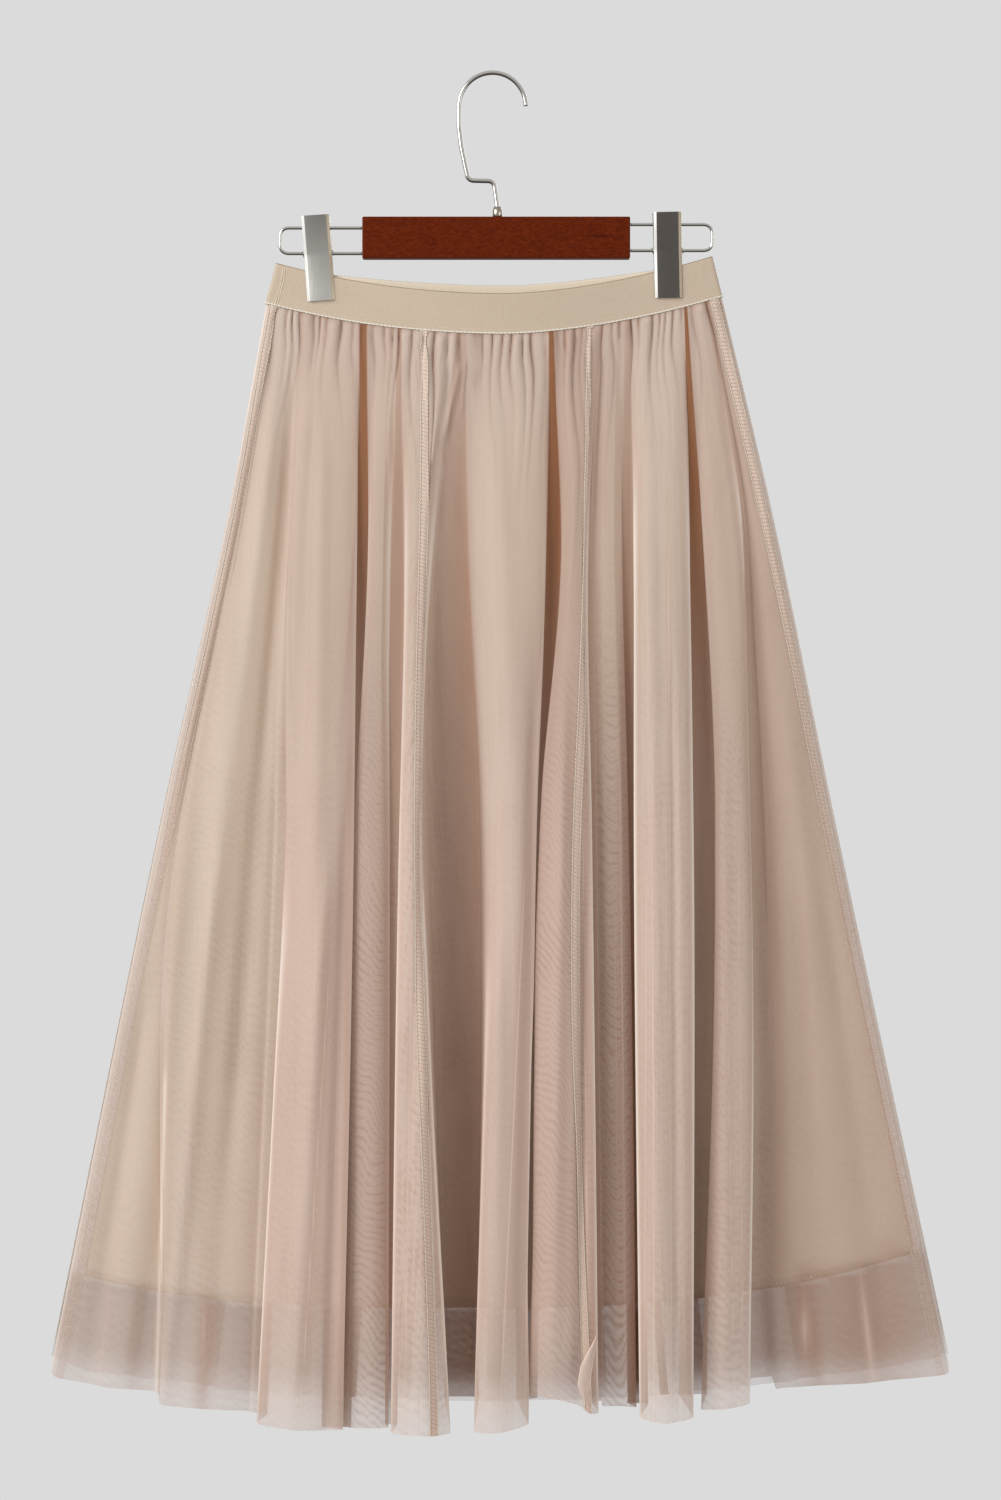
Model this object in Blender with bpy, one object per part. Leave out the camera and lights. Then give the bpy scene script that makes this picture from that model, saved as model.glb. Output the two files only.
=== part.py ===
"""A tulle midi skirt with an elastic waistband, hanging by two clips from a hanger.

Every size is in millimetres, measured from the point inside the hook where the hanger hangs:
x to the right, y to the back and z up. MM turns them into Blender's metres. The skirt hangs
flat: a front and a back of net, each of three gores, over a front and a back of lining.
"""

from collections import namedtuple
from math import cos, hypot, pi, radians, sin

import bmesh
import bpy
import numpy as np

MM = 0.001
SEAM_GAP = 0.3
MERGE = 0.001

# Waistband: a flat elastic loop whose lower edge sags between the clips
BAND_WALL = 1.8
BAND_HEIGHT = 28.2
BAND_LOW = -182.0
BAND_LOW_X = 9.0
BAND_LEFT = -158.9
BAND_RIGHT = 161.0
BAND_RISE_LEFT = 21.9
BAND_RISE_RIGHT = 26.6
BAND_POWER_LEFT = 2.0
BAND_POWER_RIGHT = 1.65
BAND_TOP_SHARE = 0.956
BAND_COLUMNS = 30
BAND_END_STEPS = 5
BACK_RISE = 5.0
BACK_RISE_HALF = 125.0

# Mouth of the waist: the loop's front and back part between the clips
MOUTH_X = 1.4
MOUTH_HALF = 110.0
MOUTH_DEPTH = 4.7
MOUTH_POWER = 1.5
CLAMPED_DEPTH = 0.3

# Cloth walls, the lining's hem below the hook, and its share of the net's fall
NET_WALL = 1.0
LINING_WALL = 1.0
MITRE_LIMIT = 1.4
LINING_SHARE = 0.9
LINING_HEM_LEFT = 837.0
LINING_HEM_MIDDLE = 860.0
LINING_HEM_RIGHT = 824.0
LINING_HEM_POWER = 2.2
LINING_BACK_LIFT = 5.0
LINING_INSET = (5.0, 6.0, 7.0, 9.0)
LINING_FRONT = (7.0, 12.0, 18.0)
LINING_BACK = (5.5, 8.0, 11.0)
LINING_SPREAD = (30.0, 60.0, 90.0, 120.0)
LINING_COLUMNS = 36
LINING_ROWS = (0.0, 0.14, 0.32, 0.54, 0.78, 1.0)
LINING_WAVE = (0.0, 0.9, 1.7, 2.6)
LINING_WAVE_LENGTHS = (97.0, 61.0)
LINING_SECOND_WAVE = 0.6
LINING_BACK_SHIFT = 2.0

# Net: the shares of its fall where its sections are given, and where the mesh has rows
STATIONS = (0.0, 0.205, 0.47, 1.0)
NET_ROWS = (0.0, 0.035, 0.09, 0.18, 0.30, 0.47, 0.65, 0.83, 1.0)
HEM_LEFT = 903.0
HEM_RIGHT = 902.3
BACK_HEM_LIFT = 7.0
HOLLOW_LIFT = 0.17
GATHER_DEPTH = 2.3
GATHER_AT = 0.05
GATHER_START = 0.014
GATHER_PITCH = 3.3
CROWN = 0.10
CROWN_POWER = 3
HOLLOW_SHARE = 0.33
NET_CLEARANCE = 0.9
WIDE_CLEARANCE = 0.002
SIDE_EDGE = 1.2
SIDE_CROWD = 1.7

# One row for each hanging fold, left to right. left and right are the x of its front's edges at
# the band, hip, knee and hem. depth is how far it stands out at the hip, knee and hem, and
# valley the same for the hollow after it. tuck is how far, at the hem, that hollow runs behind
# the fold on its left and behind the one on its right. hem is its drop below the hook.
Fold = namedtuple("Fold", "name columns left right depth valley tuck hem")

FRONT_FOLDS = (
    Fold("side_left", 6, (-158.4, -186.0, -229.0, -308.7), (-151.6, -178.0, -217.0, -233.0),
         (10, 14, 15), (9, 13, 19), (0, 0), 916),
    Fold("hip_left", 5, (-150.0, -175.0, -213.0, -229.0), (-134.6, -145.0, -152.0, -168.0),
         (12, 19, 35), (12, 18, 34), (0, 9), 928),
    Fold("broad_left", 13, (-131.5, -140.0, -144.0, -161.8), (-94.2, -93.5, -96.1, -104.7),
         (20, 40, 66), (9, 15, 28), (9, 7), 937),
    Fold("strip_left", 7, (-86.5, -85.9, -92.6, -100.6), (-66.5, -65.1, -69.0, -71.0),
         (16, 33, 52), (12, 22, 34), (4, 5), 938),
    Fold("seam_left", 11, (-63.0, -62.3, -66.5, -67.9), (-25.8, -27.7, -43.9, -28.4),
         (20, 46, 76), (9, 14, 22), (10, 9), 939),
    Fold("centre", 15, (-16.5, -13.8, -4.0, -12.1), (38.4, 37.5, 31.0, 22.6),
         (22, 46, 74), (9, 15, 26), (9, 8), 937),
    Fold("seam_right", 10, (48.2, 47.9, 33.0, 27.4), (75.4, 67.3, 69.5, 73.0),
         (21, 44, 68), (15, 27, 42), (6, 0), 927),
    Fold("strip_right", 5, (77.6, 70.6, 72.0, 76.0), (90.8, 90.1, 92.8, 96.3),
         (15, 28, 44), (9, 15, 25), (7, 9), 924),
    Fold("broad_right", 13, (98.4, 97.8, 97.7, 100.9), (133.4, 137.3, 139.2, 137.6),
         (23, 46, 74), (9, 14, 22), (10, 8), 931),
    Fold("hip_right", 4, (138.6, 146.3, 154.7, 143.1), (148.6, 173.3, 178.7, 175.8),
         (14, 31, 56), (10, 15, 21), (5, 0), 924),
    Fold("side_right", 9, (151.6, 178.9, 192.5, 198.8), (160.6, 196.0, 235.9, 319.2),
         (11, 16, 17), None, None, 913),
)

BACK_FOLDS = (
    Fold("side_left", 7, (-158.4, -186.0, -229.0, -308.7), (-136.0, -163.0, -196.0, -262.0),
         (9, 12, 15), (8, 11, 14), (0, 0), 910),
    Fold("broad_left", 9, (-130.5, -156.0, -187.0, -249.0), (-104.0, -122.0, -151.0, -204.0),
         (12, 17, 24), (8, 11, 14), (2, 2), 918),
    Fold("slim_left", 8, (-98.0, -116.0, -144.0, -195.0), (-72.0, -87.0, -104.0, -141.0),
         (11, 16, 22), (8, 11, 14), (2, 2), 925),
    Fold("seam_left", 11, (-66.0, -80.0, -96.0, -129.0), (-35.0, -41.0, -51.0, -70.0),
         (13, 19, 27), (8, 11, 14), (3, 3), 930),
    Fold("centre_left", 10, (-29.0, -34.0, -42.0, -58.0), (-2.0, -2.0, -3.0, -5.0),
         (11, 17, 23), (8, 11, 14), (2, 3), 932),
    Fold("centre_right", 11, (4.0, 5.0, 6.0, 8.0), (35.0, 42.0, 51.0, 70.0),
         (13, 18, 26), (8, 11, 14), (3, 2), 932),
    Fold("seam_right", 10, (41.0, 50.0, 61.0, 82.0), (69.0, 83.0, 100.0, 139.0),
         (12, 18, 25), (8, 11, 14), (2, 2), 929),
    Fold("broad_right", 10, (75.0, 91.0, 110.0, 153.0), (105.0, 127.0, 154.0, 214.0),
         (12, 16, 23), (8, 11, 14), (2, 2), 921),
    Fold("side_right", 14, (111.0, 134.0, 164.0, 228.0), (160.6, 196.0, 235.9, 319.2),
         (10, 12, 15), None, None, 908),
)

# The folds that a gore seam runs down, and how far across each one it lies
SEAMS = (("seam_left", 0.5), ("seam_right", 0.63))

# Hook: round wire with a half-circle crook, a cranked neck and a stem in its nut
HOOK_WIRE = 1.6
CROOK_RADIUS = 21.7
CROOK_TURN = 184.0
CROOK_STEPS = 18
NECK = (
    (-23.5, -36.0), (-21.9, -50.0), (-16.9, -73.9), (0.9, -74.3), (3.4, -92.0), (3.5, -96.5),
)
NECK_BEND = 4.0
NECK_STEPS = 3
HOOK_SIDES = 3

# Bar and the nut on its top
BAR_LEFT = -91.0
BAR_RIGHT = 96.2
BAR_TOP = -99.8
BAR_BOTTOM = -128.8
BAR_THICK = 12.0
BAR_EDGE = 0.9
NUT_RADIUS = 3.4
NUT_HEIGHT = 7.2
NUT_CHAMFER = 0.8
NUT_SHOULDER = 0.7
NUT_BORE = 1.95
NUT_BORE_DEPTH = 4.5

# Wire loops: x of the outer end, z of the upper and lower wire
LOOP_WIRE = 1.15
LOOP_CORNER = 6.5
LOOP_STEPS = 5
LOOP_SIDES = 2
CORNER_REACH = 0.45
LOOPS = {
    "left": {"bar_x": BAR_LEFT, "end_x": -148.7, "upper": -107.1, "lower": -125.0},
    "right": {"bar_x": BAR_RIGHT, "end_x": 153.8, "upper": -104.7, "lower": -122.9},
}

# Clips: two pressed plates each, turning on a sprung sleeve round the lower wire
CLIP_WIDTH = 19.5
CLIP_ABOVE = 25.8
CLIP_BELOW = 33.4
CLIP_SHEET = 1.2
CLIP_EDGE = 0.9
CLIP_FACE_LOW = 3.9
CLIP_FACE_PIVOT = 4.1
CLIP_FACE_TOP = 9.6
CLIP_LIP = 2.45
CLIP_BACK_EXTRA = 1.5
CLIP_KINK = 1.5
SLEEVE_RADIUS = 2.3
SLEEVE_BORE = 1.5
SLEEVE_LENGTH = 22.5
ROUND_STEPS = 16
CLIPS = {
    "left": {"x": -122.1, "tilt": 3.9},
    "right": {"x": 122.6, "tilt": 1.2},
}


def clear_scene():
    for old in list(bpy.data.objects):
        bpy.data.objects.remove(old, do_unlink=True)


def make_material(name, colour, roughness, metallic=0.0):
    made = bpy.data.materials.new(name)
    made.use_nodes = True
    shader = made.node_tree.nodes["Principled BSDF"]
    shader.inputs["Base Color"].default_value = (*colour, 1.0)
    shader.inputs["Roughness"].default_value = roughness
    shader.inputs["Metallic"].default_value = metallic
    return made


def add_object(name, data, finish, parent=None):
    made = bpy.data.objects.new(name, data)
    data.materials.append(finish)
    made.parent = parent
    bpy.context.scene.collection.objects.link(made)
    return made


def solid_mesh(name, points, faces):
    """A closed mesh from points in millimetres, with its faces turned outwards."""
    mesh = bpy.data.meshes.new(name)
    mesh.from_pydata([tuple(point) for point in np.asarray(points) * MM], [], faces)
    work = bmesh.new()
    work.from_mesh(mesh)
    bmesh.ops.remove_doubles(work, verts=work.verts, dist=MERGE * MM)
    bmesh.ops.recalc_face_normals(work, faces=work.faces)
    work.to_mesh(mesh)
    work.free()
    return mesh


def grid_faces(start, rows, columns, flip):
    """Triangles of a grid of points numbered row by row from start."""
    faces = []
    for row in range(rows - 1):
        for column in range(columns - 1):
            a = start + row * columns + column
            b, c, d = a + 1, a + columns + 1, a + columns
            faces += [(a, c, b), (a, d, c)] if flip else [(a, b, c), (a, c, d)]
    return faces


def wall_mesh(name, outer, inner):
    """A cloth wall between two grids of points, closed along its four edges."""
    rows, columns = outer.shape[:2]
    count = rows * columns
    points = np.concatenate([outer.reshape(-1, 3), inner.reshape(-1, 3)])
    faces = grid_faces(0, rows, columns, False) + grid_faces(count, rows, columns, True)
    index = np.arange(count).reshape(rows, columns)
    rim = np.concatenate([index[0], index[1:, -1], index[-1, -2::-1], index[-2:0:-1, 0]])
    for a, b in zip(rim, np.roll(rim, -1)):
        a, b = int(a), int(b)
        faces += [(b, a, a + count), (b, a + count, b + count)]
    return solid_mesh(name, points, faces)


def smooth(share):
    share = np.clip(share, 0.0, 1.0)
    return share * share * (3.0 - 2.0 * share)


def along(share, values):
    """A soft curve through the values at the four stations of the fall."""
    slopes = np.gradient(np.asarray(values, float), STATIONS)
    place = min(int(np.searchsorted(STATIONS, share, side="right")) - 1, len(STATIONS) - 2)
    width = STATIONS[place + 1] - STATIONS[place]
    u = (share - STATIONS[place]) / width
    start, end = values[place], values[place + 1]
    return (
        start * (1 + 2 * u) * (1 - u) ** 2
        + slopes[place] * width * u * (1 - u) ** 2
        + end * u * u * (3 - 2 * u)
        - slopes[place + 1] * width * u * u * (1 - u)
    )


def mouth(x):
    """Half the gap between the front and the back of the waistband at x."""
    share = np.clip(1.0 - ((x - MOUTH_X) / MOUTH_HALF) ** 2, 0.0, 1.0)
    return CLAMPED_DEPTH + MOUTH_DEPTH * share**MOUTH_POWER


def band_low(x, back):
    """Height of the waistband's lower edge at x; the back hangs a little higher."""
    left = np.clip((BAND_LOW_X - x) / (BAND_LOW_X - BAND_LEFT), 0.0, None)
    right = np.clip((x - BAND_LOW_X) / (BAND_RIGHT - BAND_LOW_X), 0.0, None)
    rise = BAND_RISE_LEFT * left**BAND_POWER_LEFT + BAND_RISE_RIGHT * right**BAND_POWER_RIGHT
    lift = BACK_RISE * np.clip(1.0 - ((x - MOUTH_X) / BACK_RISE_HALF) ** 2, 0.0, None)
    return BAND_LOW + rise + lift * back


def net_edges(share):
    """x of the left and right outline at this share of the fall."""
    return along(share, FRONT_FOLDS[0].left), along(share, FRONT_FOLDS[-1].right)


def lining_depth(x, share, back):
    """How far the lining's outer side stands from the plane of the side seams."""
    left, right = net_edges(share)
    inset = along(share, LINING_INSET)
    middle = LINING_BACK if back else LINING_FRONT
    full = along(share, (0.0, *middle))
    full = full + (mouth(x) + LINING_WALL) * (1.0 - smooth(share / STATIONS[1]))
    spread = along(share, LINING_SPREAD)
    room = np.minimum(x - left - inset, right - inset - x) / spread
    taper = 1.0 - (1.0 - np.clip(room, 0.0, 1.0)) ** 2
    first, second = (2.0 * pi * x / length for length in LINING_WAVE_LENGTHS)
    ripple = np.sin(first + LINING_BACK_SHIFT * back) + LINING_SECOND_WAVE * np.sin(second)
    wave = along(share, LINING_WAVE) * ripple
    least = CLAMPED_DEPTH + LINING_WALL
    return least + np.clip(full + wave - least, 0.0, None) * taper


def lining_surface(x, share, back):
    """The lining's depth as its panel is made, straight between its rows."""
    rows = [row * LINING_SHARE for row in LINING_ROWS]
    place = min(int(np.searchsorted(rows, share, side="right")) - 1, len(rows) - 2)
    u = min((share - rows[place]) / (rows[place + 1] - rows[place]), 1.0)
    above, below = (lining_depth(x, row, back) for row in rows[place : place + 2])
    return above * (1.0 - u) + below * u


def fold_columns(folds):
    """The columns of the net: (fold's row, share across it), or (row, None) in a hollow."""
    columns = []
    for row, fold in enumerate(folds):
        columns += [(row, step / (fold.columns - 1)) for step in range(fold.columns)]
        if fold.valley:
            columns += [(row, None), (row, None)]
    return columns


def net_section(share, folds, back):
    """x and depth of every column of the net at this share of its fall."""
    places, depths = [], []
    top = float(1.0 - smooth(share / STATIONS[1]))
    tucked = float(smooth(share / STATIONS[2]))
    for row, fold in enumerate(folds):
        left, right = along(share, fold.left), along(share, fold.right)
        depth = along(share, (0.0, *fold.depth))
        across = np.linspace(0.0, 1.0, fold.columns)
        if row == 0:
            across = across**SIDE_CROWD
        if row == len(folds) - 1:
            across = 1.0 - (1.0 - across) ** SIDE_CROWD
        x = left + (right - left) * across
        places.append(x)
        depths.append(depth * (1.0 - CROWN * np.abs(2.0 * across - 1.0) ** CROWN_POWER))
        if not fold.valley:
            continue
        after = along(share, folds[row + 1].left)
        gap = after - right
        places.append([
            right + HOLLOW_SHARE * gap - fold.tuck[0] * tucked,
            after - HOLLOW_SHARE * gap + fold.tuck[1] * tucked,
        ])
        depths.append([along(share, (0.0, *fold.valley))] * 2)
    x = np.concatenate(places)
    depth = np.concatenate(depths)
    at_band = mouth(x) + LINING_WALL + SEAM_GAP + NET_WALL
    depth = depth + at_band * top
    start = (share + GATHER_START) / GATHER_AT
    gather = GATHER_DEPTH * start * np.exp(1.0 - start)
    pitch = np.clip(np.gradient(x) / GATHER_PITCH, 0.0, 1.0)
    depth = depth + gather * pitch * (np.arange(len(x)) % 2)
    least = NET_WALL + SEAM_GAP + NET_CLEARANCE * smooth(share / NET_ROWS[1])
    least = least + WIDE_CLEARANCE * np.gradient(x) ** 2
    depth = np.maximum(depth, lining_surface(x, share, back) + least)
    depth[[0, -1]] = SIDE_EDGE
    return x, depth


def inward(x, depth, thickness):
    """The section moved inwards by the wall's thickness, square to the cloth."""
    dx, dd = np.diff(x), np.diff(depth)
    length = np.hypot(dx, dd)
    normal = np.stack([dd / length, -dx / length])
    before = np.concatenate([normal[:, :1], normal], axis=1)
    after = np.concatenate([normal, normal[:, -1:]], axis=1)
    both = before + after
    size = np.hypot(*both)
    both = both / size
    stretch = np.minimum(2.0 / size, MITRE_LIMIT)
    return x + both[0] * stretch * thickness, depth + both[1] * stretch * thickness


def net_grids(folds, back):
    """The outer and inner points of the whole front or back net."""
    columns = fold_columns(folds)
    middles = [
        np.mean([place for place, column in enumerate(columns) if column[0] == row])
        for row in range(len(folds))
    ]
    lift = BACK_HEM_LIFT * back
    marks = [0.0, *middles, len(columns) - 1.0]
    drops = [HEM_LEFT - lift, *(fold.hem for fold in folds), HEM_RIGHT - lift]
    hem = -np.interp(np.arange(len(columns)), marks, drops)
    for place, (row, share) in enumerate(columns):
        if share is None:
            hem[place] += HOLLOW_LIFT * (folds[row].depth[-1] - folds[row].valley[-1])
    top_x, _ = net_section(0.0, folds, back)
    top = band_low(top_x, back) - SEAM_GAP
    side = 1.0 if back else -1.0
    outer, inner = [], []
    for share in NET_ROWS:
        x, depth = net_section(share, folds, back)
        z = top + (hem - top) * share
        inner_x, inner_depth = inward(x, depth, NET_WALL)
        inner_x[[0, -1]] = x[[0, -1]]
        inner_depth[[0, -1]] = SIDE_EDGE - NET_WALL
        outer.append(np.stack([x, side * depth, z], axis=1))
        inner.append(np.stack([inner_x, side * inner_depth, z], axis=1))
    return columns, np.array(outer), np.array(inner)


def make_net(side, folds, back, finish, parent):
    """Three gores, parted by a seam's gap down the middle of the two seam folds."""
    columns, outer, inner = net_grids(folds, back)
    cuts = [0]
    for name, share in SEAMS:
        row = [fold.name for fold in folds].index(name)
        cuts.append(columns.index((row, 0.0)) + round(share * (folds[row].columns - 1)))
    cuts.append(len(columns) - 1)
    for gore, first, last in zip(("left", "centre", "right"), cuts, cuts[1:]):
        shells = []
        for grid in (outer, inner):
            part = grid[:, first : last + 1].copy()
            part[:, 0, 0] += SEAM_GAP / 2 * (first > 0)
            part[:, -1, 0] -= SEAM_GAP / 2 * (last < len(columns) - 1)
            shells.append(part)
        name = f"tulle_{side}_{gore}"
        add_object(name, wall_mesh(name, *shells), finish, parent)


def make_lining(side, back, finish, parent):
    """One lining panel, from the waistband's lower edge to its own shorter hem."""
    across = np.linspace(0.0, 1.0, LINING_COLUMNS)
    left, right = net_edges(0.0)
    inset = LINING_INSET[0]
    top_x = left + inset + (right - left - 2 * inset) * across
    top = band_low(top_x, back) - SEAM_GAP
    end = np.where(across < 0.5, LINING_HEM_LEFT, LINING_HEM_RIGHT)
    rise = (LINING_HEM_MIDDLE - end) * np.abs(2.0 * across - 1.0) ** LINING_HEM_POWER
    hem = rise - LINING_HEM_MIDDLE + LINING_BACK_LIFT * back
    sign = 1.0 if back else -1.0
    outer, inner = [], []
    for row in LINING_ROWS:
        share = row * LINING_SHARE
        left, right = net_edges(share)
        inset = along(share, LINING_INSET)
        x = left + inset + (right - left - 2 * inset) * across
        depth = lining_depth(x, share, back)
        z = top + (hem - top) * row
        inner_x, inner_depth = inward(x, depth, LINING_WALL)
        inner_x[[0, -1]] = x[[0, -1]]
        inner_depth[[0, -1]] = depth[[0, -1]] - LINING_WALL
        outer.append(np.stack([x, sign * depth, z], axis=1))
        inner.append(np.stack([inner_x, sign * inner_depth, z], axis=1))
    name = f"lining_{side}"
    add_object(name, wall_mesh(name, np.array(outer), np.array(inner)), finish, parent)


def band_ring(offset, height_share):
    """The waistband's loop, offset from the middle of its wall, at a share of its height."""
    turn = np.linspace(-pi / 2, pi / 2, BAND_END_STEPS)
    radius = CLAMPED_DEPTH + BAND_WALL / 2
    reach = radius + offset
    ends = (BAND_LEFT + radius + BAND_WALL / 2, BAND_RIGHT - radius - BAND_WALL / 2)
    x = np.linspace(*ends, BAND_COLUMNS)
    depth = mouth(x) + BAND_WALL / 2 + offset
    right = np.stack([ends[1] + reach * np.cos(turn), reach * np.sin(turn)], axis=1)
    left = np.stack([ends[0] - reach * np.cos(turn), -reach * np.sin(turn)], axis=1)
    front = np.stack([x, -depth], axis=1)[1:-1]
    back = np.stack([x, depth], axis=1)[-2:0:-1]
    loop = np.concatenate([front, right, back, left])
    low = band_low(loop[:, 0], loop[:, 1] > 0.0)
    narrow = 1.0 - (1.0 - BAND_TOP_SHARE) * height_share
    x = MOUTH_X + (loop[:, 0] - MOUTH_X) * narrow
    return np.stack([x, loop[:, 1], low + BAND_HEIGHT * height_share], axis=1)


def make_waistband(finish, parent):
    """The elastic loop: an outer and an inner wall joined at its two edges."""
    half = BAND_WALL / 2
    rings = [band_ring(half, 0.0), band_ring(half, 1.0), band_ring(-half, 1.0), band_ring(-half, 0.0)]
    count = len(rings[0])
    faces = []
    for ring in range(4):
        for step in range(count):
            after = (step + 1) % count
            a, b = ring * count + step, ring * count + after
            c, d = (ring + 1) % 4 * count + after, (ring + 1) % 4 * count + step
            faces += [(a, b, c), (a, c, d)]
    add_object("waistband", solid_mesh("waistband", np.concatenate(rings), faces), finish, parent)


def rounded(corners, radius, steps):
    """A path in x and z through the corners, each inner one turned on an arc."""
    path = [corners[0]]
    for before, corner, after in zip(corners, corners[1:], corners[2:]):
        towards = []
        for other in (before, after):
            reach = hypot(other[0] - corner[0], other[1] - corner[1])
            cut = min(radius, CORNER_REACH * reach) / reach
            towards.append([corner[k] + (other[k] - corner[k]) * cut for k in (0, 1)])
        for step in range(steps + 1):
            u = step / steps
            weights = ((1 - u) ** 2, 2 * u * (1 - u), u * u)
            ends = (towards[0], corner, towards[1])
            path.append([sum(w * end[k] for w, end in zip(weights, ends)) for k in (0, 1)])
    return path + [corners[-1]]


def make_wire(name, path, radius, sides, finish, parent):
    """Round wire along a path in the plane of the hanger."""
    curve = bpy.data.curves.new(name, "CURVE")
    curve.dimensions = "3D"
    curve.bevel_depth = radius * MM
    curve.bevel_resolution = sides
    curve.use_fill_caps = True
    spline = curve.splines.new("POLY")
    spline.points.add(len(path) - 1)
    for point, (x, z) in zip(spline.points, path):
        point.co = (x * MM, 0.0, z * MM, 1.0)
    return add_object(name, curve, finish, parent)


def make_hook(finish, parent):
    """The crook's half circle passes over the hanging point, then the neck cranks back."""
    centre = -CROOK_RADIUS
    path = []
    for step in range(CROOK_STEPS + 1):
        angle = radians(CROOK_TURN * step / CROOK_STEPS)
        reach = CROOK_RADIUS + HOOK_WIRE
        path.append([reach * cos(angle), centre + reach * sin(angle)])
    path += rounded(NECK, NECK_BEND, NECK_STEPS)
    make_wire("hook", path, HOOK_WIRE, HOOK_SIDES, finish, parent)


def lathe_mesh(name, profile, steps):
    """A closed profile of (radius, height) turned round the z axis."""
    count = len(profile)
    points, faces = [], []
    for step in range(steps):
        angle = 2 * pi * step / steps
        points += [(r * cos(angle), r * sin(angle), z) for r, z in profile]
        for k in range(count):
            a, b = step * count + k, step * count + (k + 1) % count
            shift = count if step < steps - 1 else -step * count
            faces.append((a, b, b + shift, a + shift))
    return solid_mesh(name, points, faces)


def make_nut(finish, parent):
    """A turned nut on the bar, with the blind hole that the hook's stem stands in."""
    floor = NUT_HEIGHT - NUT_BORE_DEPTH
    profile = (
        (0.0, 0.0), (NUT_RADIUS, 0.0), (NUT_RADIUS, NUT_SHOULDER * NUT_HEIGHT),
        (NUT_RADIUS - NUT_CHAMFER, NUT_HEIGHT), (NUT_BORE, NUT_HEIGHT), (NUT_BORE, floor), (0.0, floor),
    )
    made = add_object("ferrule", lathe_mesh("ferrule", profile, ROUND_STEPS), finish, parent)
    made.location = (NECK[-1][0] * MM, 0.0, (BAR_TOP + SEAM_GAP) * MM)


def make_bar(finish, parent):
    """The wooden bar, a plain block with softened edges."""
    mesh = bpy.data.meshes.new("hanger_bar")
    work = bmesh.new()
    bmesh.ops.create_cube(work, size=1.0)
    size = (BAR_RIGHT - BAR_LEFT, BAR_THICK, BAR_TOP - BAR_BOTTOM)
    bmesh.ops.scale(work, vec=[side * MM for side in size], verts=work.verts)
    work.to_mesh(mesh)
    work.free()
    made = add_object("hanger_bar", mesh, finish, parent)
    made.location = ((BAR_LEFT + BAR_RIGHT) / 2 * MM, 0.0, (BAR_TOP + BAR_BOTTOM) / 2 * MM)
    edge = made.modifiers.new("edge", "BEVEL")
    edge.width = BAR_EDGE * MM
    edge.segments = 2


def make_loop(side, finish, parent):
    """A wire bent round from one end of the bar and back to it."""
    loop = LOOPS[side]
    start = loop["bar_x"] + (SEAM_GAP if side == "right" else -SEAM_GAP)
    corners = [
        (start, loop["upper"]), (loop["end_x"], loop["upper"]),
        (loop["end_x"], loop["lower"]), (start, loop["lower"]),
    ]
    path = rounded(corners, LOOP_CORNER, LOOP_STEPS)
    make_wire(f"wire_loop_{side}", path, LOOP_WIRE, LOOP_SIDES, finish, parent)


def plate_mesh(name, above, sign):
    """A pressed clip plate: a flat face with edges bent back, splayed above its pivot.

    Each section runs up the plate: (height, depth of the face).
    """
    rise = above / CLIP_ABOVE
    sections = (
        (-CLIP_BELOW, CLIP_FACE_LOW), (-CLIP_KINK, CLIP_FACE_LOW), (CLIP_KINK, CLIP_FACE_PIVOT),
        (above, CLIP_FACE_PIVOT + (CLIP_FACE_TOP - CLIP_FACE_PIVOT) * rise),
    )
    half, sheet, edge = CLIP_WIDTH / 2, CLIP_SHEET, CLIP_EDGE
    points = []
    for height, face in sections:
        outline = (
            (-half, CLIP_LIP), (-half, face - edge), (-half + edge, face), (half - edge, face),
            (half, face - edge), (half, CLIP_LIP), (half - sheet, CLIP_LIP),
            (half - sheet, face - sheet), (sheet - half, face - sheet), (sheet - half, CLIP_LIP),
        )
        points += [(x, -sign * depth, height) for x, depth in outline]
    count = len(outline)
    faces = [tuple(range(count)), tuple(range(len(points) - count, len(points)))]
    for row in range(len(sections) - 1):
        for k in range(count):
            a, b = row * count + k, row * count + (k + 1) % count
            faces.append((a, b, b + count, a + count))
    return solid_mesh(name, points, faces)


def make_clip(side, plate_finish, spring_finish, parent):
    """Two plates and a sleeve, hung on the lower wire and turned with the clip."""
    clip = CLIPS[side]
    pivot = bpy.data.objects.new(f"pivot_{side}", None)
    pivot.parent = parent
    pivot.location = (clip["x"] * MM, 0.0, LOOPS[side]["lower"] * MM)
    bpy.context.scene.collection.objects.link(pivot)
    for face, sign, above in (("front", 1, CLIP_ABOVE), ("back", -1, CLIP_ABOVE + CLIP_BACK_EXTRA)):
        name = f"clip_{side}_{face}"
        plate = add_object(name, plate_mesh(name, above, sign), plate_finish, pivot)
        plate.rotation_euler = (0.0, -radians(clip["tilt"]), 0.0)
    half = SLEEVE_LENGTH / 2
    profile = ((SLEEVE_BORE, -half), (SLEEVE_RADIUS, -half), (SLEEVE_RADIUS, half), (SLEEVE_BORE, half))
    name = f"clip_{side}_spring"
    sleeve = add_object(name, lathe_mesh(name, profile, ROUND_STEPS), spring_finish, pivot)
    sleeve.rotation_euler = (0.0, pi / 2, 0.0)


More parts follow.
